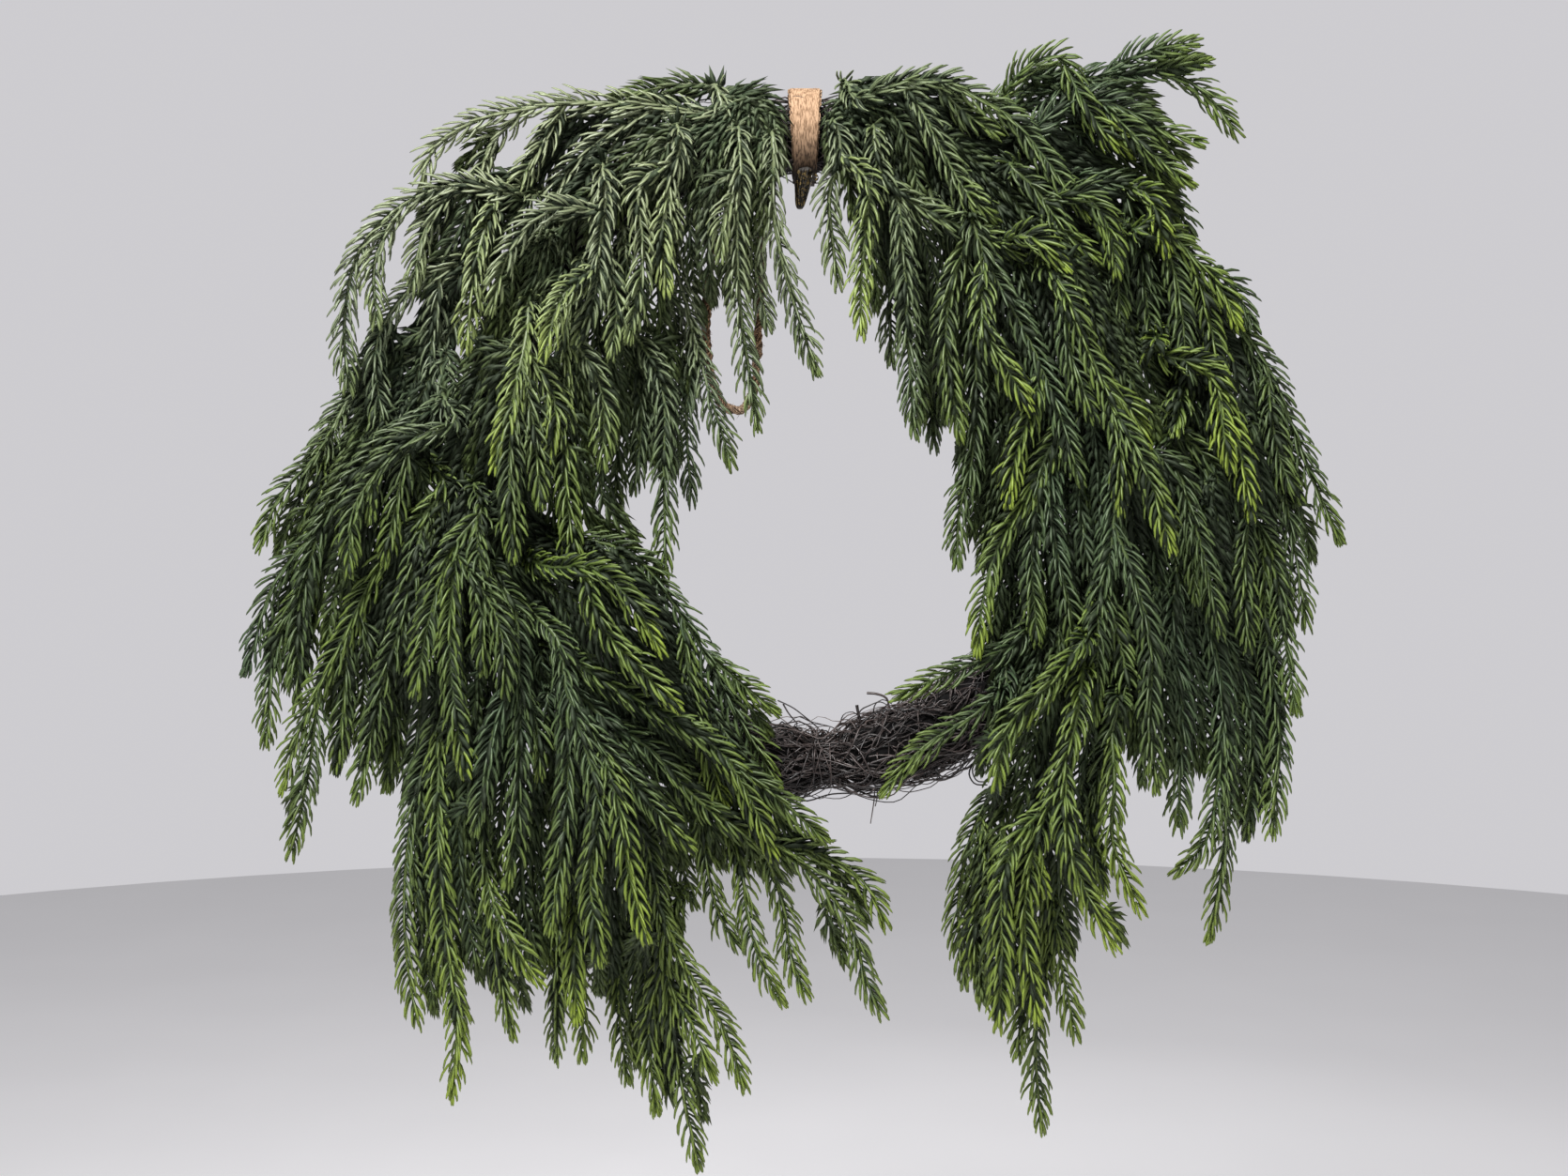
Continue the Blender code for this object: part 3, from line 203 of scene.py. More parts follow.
class Value:
    """A shader socket that joins in sums. Each sum makes the node that works it out."""

    def __init__(self, tree, socket):
        self.tree = tree
        self.socket = socket

    def node(self, kind, inputs, output=0, **settings):
        """Any other node: its inputs by name or number, its settings, and which output is wanted."""
        made = self.tree.nodes.new(kind)
        for setting, value in settings.items():
            setattr(made, setting, value)
        for key, value in inputs.items():
            if isinstance(value, Value):
                self.tree.links.new(value.socket, made.inputs[key])
            else:
                made.inputs[key].default_value = value
        return Value(self.tree, made.outputs[output])

    def math(self, operation, *others):
        inputs = dict(enumerate((self, *others)))
        return self.node("ShaderNodeMath", inputs, operation=operation)

    def __add__(self, other):
        return self.math("ADD", other)

    def __sub__(self, other):
        return self.math("SUBTRACT", other)

    def __mul__(self, other):
        return self.math("MULTIPLY", other)

    def __rsub__(self, other):
        return self.math("MULTIPLY_ADD", -1.0, other)

    __radd__ = __add__
    __rmul__ = __mul__

    def ramp(self, low, high):
        """0 below low, 1 above high and a soft step between."""
        inputs = {"Value": self, "From Min": low, "From Max": high}
        return self.node("ShaderNodeMapRange", inputs, interpolation_type="SMOOTHSTEP")

    def mix(self, first, second):
        """The first colour where this value is 0 and the second where it is 1."""
        colours = [(*c, 1.0) if isinstance(c, tuple) else c for c in (first, second)]
        inputs = {0: self, 6: colours[0], 7: colours[1]}
        return self.node("ShaderNodeMix", inputs, 2, data_type="RGBA", clamp_factor=True)

    def noise(self, scale, detail=2.0, stretch=None):
        """Noise of about one feature each 1 / scale metres, read where this value is a place."""
        place = self
        if stretch is not None:
            place = self.node("ShaderNodeVectorMath", {0: self, 1: stretch}, operation="MULTIPLY")
        inputs = {"Vector": place, "Scale": scale, "Detail": detail}
        return self.node("ShaderNodeTexNoise", inputs)


def new_material(name):
    """A material with its Principled shader, and its Object coordinates as a Value."""
    material = bpy.data.materials.new(name)
    material.use_nodes = True
    tree = material.node_tree
    shader = tree.nodes["Principled BSDF"]
    place = Value(tree, tree.nodes.new("ShaderNodeTexCoord").outputs["Object"])
    return material, shader, place


def feed(shader, **values):
    """Gives the shader's sockets values or constants. A name's underscore is a space in the socket's."""
    for name, value in values.items():
        socket = shader.inputs[name.replace("_", " ")]
        if isinstance(value, Value):
            value.tree.links.new(value.socket, socket)
        else:
            socket.default_value = value


def bump(place, height, strength, distance):
    """A Bump node's normal for a height."""
    inputs = {"Height": height, "Strength": strength, "Distance": distance}
    return place.node("ShaderNodeBump", inputs)


material, shader, place = new_material("twisted_jute")
fibre = place.noise(700.0, 3.0, (1.0, 1.0, 0.3))
patch = place.noise(60.0).ramp(0.35, 0.65)
brown = patch.mix((0.070, 0.036, 0.018), (0.120, 0.075, 0.045))
golden = patch.mix((0.42, 0.25, 0.125), (0.36, 0.25, 0.16))
feed(
    shader,
    Base_Color=fibre.ramp(0.40, 0.66).mix(brown, golden),
    Roughness=0.8,
    Normal=bump(place, fibre, 0.5, 0.0004),
)
loop.data.materials.clear()
loop.data.materials.append(material)
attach(loop, "root")
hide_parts("spare_loop")
route[::4].tolist() + [route[-1].tolist()]


# The vine ring: a bundle of thin curly vines, dark and dry. A matte, near-black heart, painted shade, fills
# the bundle's middle; strands are wound over it, a few bind it at a pinch below, and stray ends curl out of
# it.
RING_RADIUS = 0.174
BUNDLE_RADIUS = 0.0225
BOUND_RADIUS = 0.0207
BAND_RADIUS = 0.0243
RING_CENTRE = np.array((0.0, -BAND_RADIUS, -BAND_RADIUS - RING_RADIUS))
PINCH_CLOCK = 176.0
PINCH_SPREAD = 4.5
PINCH_DEPTH = 0.0080
HEART_INSET = 0.0060
HEART_WALL_GAP = 0.0015
VINE_WALL_GAP = 0.0012
WOUND_STRANDS = 560
BINDERS = 13
ARCS = 150
LOOSE_ENDS = 190
BARE_CLOCKS = (136, 206)
STRAY_CLOCKS = (140, 204)


def bundle_radius(around, side):
    """The vine bundle's radius: three loose strands twisted together, pinched where it is bound."""
    strand = 0.0013 * np.cos(3 * side + 14 * around) + 0.0008 * np.cos(2 * side - 9 * around + 1.0)
    swell = 0.0010 * np.sin(5 * around + 0.6)
    pinch = PINCH_DEPTH * np.exp(-(((np.degrees(around) % 360 - PINCH_CLOCK) / PINCH_SPREAD) ** 2))
    across = np.where(np.cos(around) > 0, np.abs(RING_RADIUS * np.sin(around)), 1.0)
    loose = np.clip((across - 0.014) / 0.012, 0.0, 1.0)
    return BOUND_RADIUS + loose * (BUNDLE_RADIUS - BOUND_RADIUS + strand + swell - pinch)


def on_bundle(around, side, lift=0.0):
    """Points on the bundle, lifted off its surface, and the directions out of it."""
    around, side, lift = np.broadcast_arrays(*map(np.asarray, (around, side, lift)))
    outward = np.stack((np.sin(around), np.zeros(around.shape), np.cos(around)), axis=-1)
    normal = np.cos(side)[..., None] * np.array((0.0, -1.0, 0.0)) + np.sin(side)[..., None] * outward
    reach = bundle_radius(around, side) + lift
    return RING_CENTRE + RING_RADIUS * outward + reach[..., None] * normal, normal


bpy.ops.mesh.primitive_torus_add(
    major_segments=240, minor_segments=24, major_radius=RING_RADIUS, minor_radius=BUNDLE_RADIUS
)
heart = bpy.context.object
spots = np.empty(len(heart.data.vertices) * 3)
heart.data.vertices.foreach_get("co", spots)
spots = spots.reshape(-1, 3)
around = np.arctan2(spots[:, 0], spots[:, 1])
side = np.arctan2(np.hypot(spots[:, 0], spots[:, 1]) - RING_RADIUS, spots[:, 2])
spots = on_bundle(around, side, -HEART_INSET)[0]
spots[:, 1] = np.minimum(spots[:, 1], -HEART_WALL_GAP)
heart.data.vertices.foreach_set("co", spots.ravel())
bpy.ops.object.shade_smooth()

# Half of the wound strands lie in the bare stretch at the bottom, and a few beside the band
lines, radii = [], []
for i in range(WOUND_STRANDS):
    bare = i % 16 < 8
    beside_band = i % 16 in (8, 9)
    span = rng.uniform(0.040, 0.10) if bare else rng.uniform(0.08, 0.24)
    step = 0.0028 if bare else 0.0048
    count = int(span / step)
    middle = math.radians(rng.uniform(*BARE_CLOCKS)) if bare else rng.uniform(0, math.tau)
    if beside_band:
        middle = math.radians(rng.uniform(-15, 15))
    around = middle + (np.arange(count) - count / 2) * step / RING_RADIUS
    around = around + wander(count, step, 0.035, 0.025, 0.07)
    side = rng.uniform(-math.pi, math.pi) + rng.uniform(-1.6, 1.6) * np.linspace(0, 1, count) * span / 0.1
    side = side + wander(count, step, 0.36, 0.022, 0.08)
    lift = rng.uniform(-0.0065, 0.0) + wander(count, step, 0.0022, 0.014, 0.050)
    line = on_bundle(around, side, np.minimum(lift, 0.0026))[0]
    bound = (np.abs(line[:, 0]) < 0.0105) & (line[:, 2] > -0.06)
    line[bound] = on_bundle(around, side, np.minimum(lift, -0.0008))[0][bound]
    lines.append(line)
    taper = np.interp(np.linspace(0, 1, count), (0, 0.1, 0.9, 1), (0.6, 1, 1, 0.5))
    radii.append(rng.uniform(0.00030, 0.00056) * taper)
# Binders cross the pinch on a slant
for _ in range(BINDERS):
    count = 34
    side = np.linspace(0, rng.uniform(2.5, 5.0), count) + rng.uniform(-math.pi, math.pi)
    around = math.radians(rng.normal(PINCH_CLOCK, 1.4)) + np.linspace(-1, 1, count) * rng.normal(0.06, 0.08)
    lines.append(on_bundle(around, side, 0.0008 + wander(count, 0.003, 0.0012, 0.015, 0.05))[0])
    radii.append(np.full(count, rng.uniform(0.00028, 0.00048)))
# Arcs bow out of the bundle and go back into it
for i in range(ARCS):
    count = 14
    clock = math.radians(rng.uniform(*STRAY_CLOCKS)) if i % 2 else rng.uniform(0, math.tau)
    span = rng.uniform(0.018, 0.055) * rng.choice((-1, 1))
    t = np.linspace(0, 1, count)
    side = rng.uniform(-math.pi, math.pi) + rng.uniform(-0.9, 0.9) * t
    side = side + wander(count, 0.003, 0.10, 0.012, 0.04)
    lift = -0.002 + np.sin(math.pi * t) * rng.uniform(0.003, 0.0085)
    lift = lift + wander(count, 0.003, 0.0008, 0.01, 0.03)
    lines.append(on_bundle(clock + t * span / RING_RADIUS, side, lift)[0])
    radii.append(np.full(count, rng.uniform(0.00024, 0.00045)))
# Loose ends curl away from it
for i in range(LOOSE_ENDS):
    clock = math.radians(rng.uniform(*STRAY_CLOCKS)) if i % 2 else rng.uniform(0, math.tau)
    root, normal = on_bundle(clock, rng.uniform(-math.pi, math.pi), -0.002)
    length = rng.uniform(0.010, 0.030)
    count = 11
    tangent = np.array((math.cos(clock), 0.0, -math.sin(clock))) * rng.choice((-1, 1))
    over = np.cross(normal, tangent)
    bend = rng.uniform(1.8, 4.6)
    t = np.linspace(0, 1, count)
    rise = np.sin(t * bend) / bend * length * rng.uniform(0.35, 0.9)
    run = (1 - np.cos(t * bend)) / bend * length + 0.35 * t * length
    sway = wander(count, length / count, 0.003, 0.01, 0.03)
    lines.append(root + rise[:, None] * normal + run[:, None] * tangent + sway[:, None] * over)
    radii.append(np.linspace(rng.uniform(0.00025, 0.00045), 0.00016, count))
# No strand stands above the ring beside the band
kept = [
    i for i, line in enumerate(lines)
    if not (line[:, 2].max() > -0.0035 and np.abs(line[:, 0]).min() < 0.030)
]
lines, radii = [lines[i] for i in kept], [radii[i] for i in kept]
# The strays that stand out most along the bare stretch: arches and a cut stub above, curls and hairs below.
# Each is its radius, and then the places that it passes
STRAYS = (
    (0.00075,
     (0.0342, -0.034, -0.3339), (0.0389, -0.035, -0.3342), (0.0446, -0.035, -0.3364),
     (0.0468, -0.033, -0.3440)),
    (0.00042,
     (0.0285, -0.034, -0.3490), (0.0310, -0.035, -0.3430), (0.0353, -0.036, -0.3407),
     (0.0410, -0.036, -0.3386), (0.0462, -0.033, -0.3410)),
    (0.0004,
     (0.0195, -0.032, -0.3520), (0.0199, -0.033, -0.3490), (0.0215, -0.034, -0.3456),
     (0.0262, -0.034, -0.3443), (0.0310, -0.032, -0.3480)),
    (0.0004,
     (0.0378, -0.032, -0.3450), (0.0388, -0.034, -0.3400), (0.0428, -0.034, -0.3375),
     (0.0480, -0.033, -0.3400)),
    (0.0009,
     (0.0286, -0.034, -0.3405), (0.0291, -0.034, -0.3435), (0.0304, -0.033, -0.3490)),
    (0.0004,
     (-0.0150, -0.033, -0.3380), (-0.0065, -0.035, -0.3420), (0.0001, -0.036, -0.3469),
     (0.0075, -0.035, -0.3530)),
    (0.0005,
     (-0.0120, -0.033, -0.3400), (-0.0090, -0.034, -0.3450), (-0.0040, -0.033, -0.3510)),
    (0.00045,
     (0.0700, -0.030, -0.3740), (0.0722, -0.031, -0.3776), (0.0753, -0.031, -0.3815),
     (0.0815, -0.031, -0.3802), (0.0898, -0.030, -0.3720)),
    (0.00055,
     (0.0950, -0.030, -0.3700), (0.0909, -0.031, -0.3795), (0.0937, -0.031, -0.3841),
     (0.1010, -0.030, -0.3850)),
    (0.0005,
     (0.0965, -0.031, -0.3690), (0.0925, -0.032, -0.3770), (0.0950, -0.032, -0.3825),
     (0.1020, -0.031, -0.3830)),
    (0.00045,
     (0.0650, -0.031, -0.3740), (0.0672, -0.031, -0.3780), (0.0659, -0.031, -0.3828),
     (0.0622, -0.031, -0.3851), (0.0580, -0.031, -0.3830), (0.0560, -0.030, -0.3780)),
    (0.0004,
     (0.0120, -0.031, -0.3800), (0.0166, -0.032, -0.3862), (0.0223, -0.032, -0.3882),
     (0.0306, -0.032, -0.3900), (0.0400, -0.031, -0.3890)),
    (0.0004,
     (0.0200, -0.030, -0.3830), (0.0280, -0.031, -0.3872), (0.0360, -0.031, -0.3878),
     (0.0440, -0.030, -0.3850)),
    (0.0004,
     (0.0386, -0.032, -0.3860), (0.0382, -0.033, -0.3930), (0.0374, -0.033, -0.3985),
     (0.0362, -0.033, -0.4060)),
    (0.0004,
     (0.0400, -0.032, -0.3860), (0.0398, -0.033, -0.3920), (0.0388, -0.033, -0.3965)),
    (0.0004,
     (-0.0230, -0.031, -0.3890), (-0.0177, -0.032, -0.3928), (-0.0111, -0.032, -0.3946),
     (-0.0047, -0.032, -0.3940), (0.0030, -0.031, -0.3890)),
    (0.00035,
     (0.0010, -0.031, -0.3880), (-0.0010, -0.032, -0.3925), (-0.0042, -0.032, -0.3965),
     (-0.0065, -0.032, -0.3990)),
)
for radius, *points in STRAYS:
    lines.append(smooth_path(points, 0.002))
    radii.append(np.linspace(radius, 0.7 * radius, len(lines[-1])))
for line in lines:
    line[:, 1] = np.minimum(line[:, 1], -VINE_WALL_GAP)
vines = strands("vines", lines, radii)
# Each strand has its own tone, at random. A mesh made from curves has the caps first, the last strand's
# first of all
shades = rng.uniform(0.15, 1.0, len(lines)) ** 1.6
shades = np.concatenate((np.repeat(shades[::-1], 8), np.repeat(shades, [4 * len(line) for line in lines])))
vines.data.attributes.new("shade", "FLOAT", "POINT").data.foreach_set("value", shades)
# The heart is painted shade: matte, near black and barely glossy, so the bundle looks dark deep inside
material, shader, place = new_material("vine_heart_painted_shade")
feed(
    shader,
    Base_Color=place.noise(200.0).ramp(0.3, 0.7).mix((0.003, 0.003, 0.003), (0.009, 0.008, 0.008)),
    Roughness=1.0,
    Specular_IOR_Level=0.1,
)
heart.data.materials.append(material)
material, shader, place = new_material("dry_vine")
tone = place.node("ShaderNodeAttribute", {}, "Fac", attribute_name="shade")
grain = place.noise(260.0, 2.0)
# Each strand's own tone runs from near black to dark brown. The paler grey-brown flecks that the grain
# mixes in are painted sheen
dark = tone.mix((0.003, 0.0027, 0.003), (0.058, 0.042, 0.038))
feed(
    shader,
    Base_Color=(grain.ramp(0.45, 0.75) * tone).mix(dark, (0.130, 0.104, 0.098)),
    Roughness=grain.ramp(0.3, 0.7) * 0.15 + 0.34,
    Normal=bump(place, grain, 0.25, 0.0004),
)
vines.data.materials.append(material)
ring = join("vine_ring_look", heart, vines)
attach(ring, "root")
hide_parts("vine_ring")


# The jute band: coarse fibres laid side by side, wound once round the ring's top and flat against the wall.
# It is wider at the top. Painted light from above makes it paler there and browner below; its lowest edge
# is darker.
BAND_TOP_WIDTH = 0.0175
BAND_LOW_WIDTH = 0.0118
BAND_FLAT_RADIUS = BAND_RADIUS + 0.002
BAND_WALL_GAP = 0.0001
BAND_FIBRES = 200
BAND_HAIRS = 90
bpy.ops.mesh.primitive_cylinder_add(
    vertices=96, radius=1.0, depth=1.0, end_fill_type="NOTHING", rotation=(0, math.radians(90), 0)
)
sleeve = bpy.context.object
bpy.ops.object.transform_apply(rotation=True)


def on_band(turn, share, lift):
    """Points of the band: turn 0 is the front, 90 degrees the top. Share is -1 to 1 over its width."""
    reach = np.where(np.cos(turn) > 0, BAND_RADIUS, BAND_FLAT_RADIUS)
    y = np.minimum(-np.cos(turn) * reach, BAND_RADIUS)
    z = np.clip(np.sin(turn) * reach, -BAND_RADIUS, BAND_RADIUS)
    low = 0.5 - 0.5 * z / BAND_RADIUS
    x = 0.5 * share * (BAND_TOP_WIDTH + (BAND_LOW_WIDTH - BAND_TOP_WIDTH) * low)
    swell = 1 + lift / BAND_RADIUS
    return np.stack((x, np.minimum(y * swell - BAND_RADIUS, -0.0002), z * swell - BAND_RADIUS), axis=-1)


spots = np.empty(len(sleeve.data.vertices) * 3)
sleeve.data.vertices.foreach_get("co", spots)
spots = spots.reshape(-1, 3)
turn = np.arctan2(spots[:, 2], -spots[:, 1])
sleeve.data.vertices.foreach_set("co", on_band(turn, np.sign(spots[:, 0]) * 0.95, -0.0008).ravel())
thick = sleeve.modifiers.new("thick", "SOLIDIFY")
thick.thickness = 0.0020
thick.offset = 1.0
bpy.ops.object.select_all(action="DESELECT")
sleeve.select_set(True)
bpy.context.view_layer.objects.active = sleeve
bpy.ops.object.modifier_apply(modifier="thick")
for vertex in sleeve.data.vertices:
    vertex.co.y = min(vertex.co.y, -BAND_WALL_GAP)
# Every fourth fibre runs round the whole band, and the rest lie in short lengths over its front
lines, radii = [], []
for i in range(BAND_FIBRES):
    count = 64
    turn = np.linspace(0, math.tau, count) + rng.uniform(0, math.tau)
    if i % 4:
        turn = np.linspace(0, rng.uniform(0.3, 1.1), 18) + rng.uniform(-1.6, 1.4)
        count = 18
    step = 0.0024 if i % 4 == 0 else 0.0010
    share = rng.uniform(-1.0, 1.0) + wander(count, step, 0.20, 0.006, 0.016)
    lift = -0.0007 + 0.0008 * (i % 4 > 0) + wander(count, step, 0.0005, 0.004, 0.012)
    lines.append(on_band(turn, np.clip(share, -1.06, 1.06), np.minimum(lift, 0.0007)))
    radii.append(np.full(count, rng.uniform(0.00018, 0.00050)))
for _ in range(BAND_HAIRS):
    turn = rng.uniform(-1.5, 1.5)
    share = rng.uniform(-1.0, 1.0)
    root = on_band(turn, share, -0.0003)
    out = np.array((0.6 * share, -math.cos(turn), math.sin(turn)))
    down = np.array((0.0, -math.sin(turn), -math.cos(turn))) * rng.choice((-1, 1))
    t = np.linspace(0, 1, 6)[:, None]
    lines.append(root + t * rng.uniform(0.0015, 0.004) * down + t**2 * rng.uniform(0.0008, 0.0022) * out)
    radii.append(np.linspace(0.00016, 0.00006, 6))
fibres = strands("band_fibres", lines, radii)
for vertex in fibres.data.vertices:
    vertex.co.y = min(vertex.co.y, -BAND_WALL_GAP)
band = join("jute_band_look", sleeve, fibres)
material, shader, place = new_material("coarse_jute")
fibre = place.noise(1500.0, 3.0, (1.0, 0.22, 0.22))
height = place.node("ShaderNodeSeparateXYZ", {0: place}, 2)
# Painted light: paler towards the top, as if lit from above
painted_light_top = (height + 0.01 * fibre).ramp(-0.046, -0.016)
pale = painted_light_top.mix((0.155, 0.095, 0.055), (0.35, 0.220, 0.130))
deep = painted_light_top.mix((0.024, 0.014, 0.008), (0.130, 0.068, 0.030))
colour = fibre.ramp(0.32, 0.62).mix(deep, pale)
colour = (height + 0.004 * fibre).ramp(-0.0455, -0.0405).mix((0.030, 0.019, 0.012), colour)
feed(shader, Base_Color=colour, Roughness=0.85, Normal=bump(place, fibre, 0.6, 0.0005))
band.data.materials.clear()
band.data.materials.append(material)
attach(band, "root")
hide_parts("jute_band")


# The fluted end: a glossy bronze-brown stub, fluted lengthwise and rounded at its tip, with a small eyelet
# at its right side. It grows out of the band's lower front and hangs under it.
END_ROUTE = (
    ((0.0004, -0.0380, -0.0452), 0.0026),
    ((0.0002, -0.0380, -0.0468), 0.0045),
    ((-0.0004, -0.0360, -0.0500), 0.0050),
    ((-0.0014, -0.0330, -0.0545), 0.0046),
    ((-0.0020, -0.0310, -0.0590), 0.0038),
    ((-0.0024, -0.0300, -0.0625), 0.0031),
    ((-0.0026, -0.0296, -0.0650), 0.0024),
    ((-0.0027, -0.0295, -0.0663), 0.0014),
)
FLUTES = 8
FLUTE_DEPTH = 0.22
bpy.ops.object.select_all(action="DESELECT")
bpy.ops.mesh.primitive_circle_add(
    vertices=48, radius=END_ROUTE[0][1], fill_type="NGON", location=END_ROUTE[0][0]
)
stub = bpy.context.object
bpy.ops.object.mode_set(mode="EDIT")
bpy.ops.mesh.select_all(action="SELECT")
for (here, narrow), (there, wide) in zip(END_ROUTE, END_ROUTE[1:]):
    bpy.ops.mesh.extrude_region_move(TRANSFORM_OT_translate={"value": tuple(np.subtract(there, here))})
    bpy.ops.transform.resize(value=(wide / narrow, wide / narrow, 1.0), center_override=there)
bpy.ops.mesh.select_all(action="SELECT")
bpy.ops.mesh.normals_make_consistent(inside=False)
bpy.ops.object.mode_set(mode="OBJECT")
bpy.ops.object.transform_apply(location=True, rotation=True, scale=True)
# Extrude leaves the faces in another order on each run, so they are put in one order, lowest corner first
corners = [tuple(vertex.co) for vertex in stub.data.vertices]
faces = [tuple(face.vertices) for face in stub.data.polygons]
firsts = [face.index(min(face)) for face in faces]
faces = sorted(face[first:] + face[:first] for face, first in zip(faces, firsts))
stub.data.clear_geometry()
stub.data.from_pydata(corners, [], faces)
centres = np.array([spot for spot, _ in END_ROUTE])
for vertex in stub.data.vertices:
    centre = [np.interp(-vertex.co.z, -centres[:, 2], centres[:, k]) for k in range(2)]
    turn = math.atan2(vertex.co.y - centre[1], vertex.co.x - centre[0])
    flute = 1.0 - FLUTE_DEPTH * (0.5 + 0.5 * math.cos(FLUTES * turn)) ** 2
    flute -= 0.06 * math.sin(3 * turn - 300 * vertex.co.z)
    vertex.co.x = centre[0] + (vertex.co.x - centre[0]) * flute
    vertex.co.y = centre[1] + (vertex.co.y - centre[1]) * flute
smooth = stub.modifiers.new("smooth", "SUBSURF")
smooth.levels = 1
smooth.render_levels = 1
bpy.ops.object.modifier_apply(modifier="smooth")
bpy.ops.object.shade_smooth()
bpy.ops.mesh.primitive_torus_add(
    major_segments=24,
    minor_segments=8,
    major_radius=0.0017,
    minor_radius=0.0006,
    location=(0.0053, -0.0385, -0.0508),
    rotation=(math.radians(78), 0, math.radians(20)),
)
eyelet = bpy.context.object
bpy.ops.object.transform_apply(location=True, rotation=True, scale=True)
bpy.ops.object.shade_smooth()
stub = join("fluted_end_look", stub, eyelet)
material, shader, place = new_material("bronze_brown")
streak = place.noise(1000.0, 1.0, (1.0, 1.0, 0.05))
at_hem = place.node("ShaderNodeSeparateXYZ", {0: place}, 2).ramp(-0.0485, -0.0465)
# Painted glints: thin gold streaks down the flutes, metallic and smoother, none at the top under the band
painted_glints = streak.ramp(0.53, 0.63) * (1.0 - at_hem)
feed(
    shader,
    Base_Color=painted_glints.mix((0.013, 0.010, 0.007), (0.30, 0.21, 0.085)),
    Roughness=streak.ramp(0.35, 0.7) * 0.15 + 0.20 + 0.6 * at_hem,
    Metallic=painted_glints * 0.8,
    Normal=bump(place, streak, 0.3, 0.0004),
)
stub.data.materials.clear()
stub.data.materials.append(material)
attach(stub, "root")
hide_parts("fluted_end")


# The sprays: moulded pine, each a stem pushed into the ring with a leader and side tails, and curved
# needles all round them. The routes, and how they settle past each other, are the model's.
LEAD_OUT = 0.010
TIP_TRIM = 0.006
CLEARANCE = 0.0075
RING_ROOM = 0.0055
LEAST_DEPTH = 0.009
MOST_DEPTH = 0.128
STEP = 0.004
ROUNDS = 90
SHEET_DEPTH = 0.0636
SHEET_SHIFT = (-0.0005, -0.01275)
DARK = "dark"
GREEN = "green"
YOUNG = "young"
LOOK_DEPTH = {DARK: -0.012, GREEN: 0.0, YOUNG: 0.008}
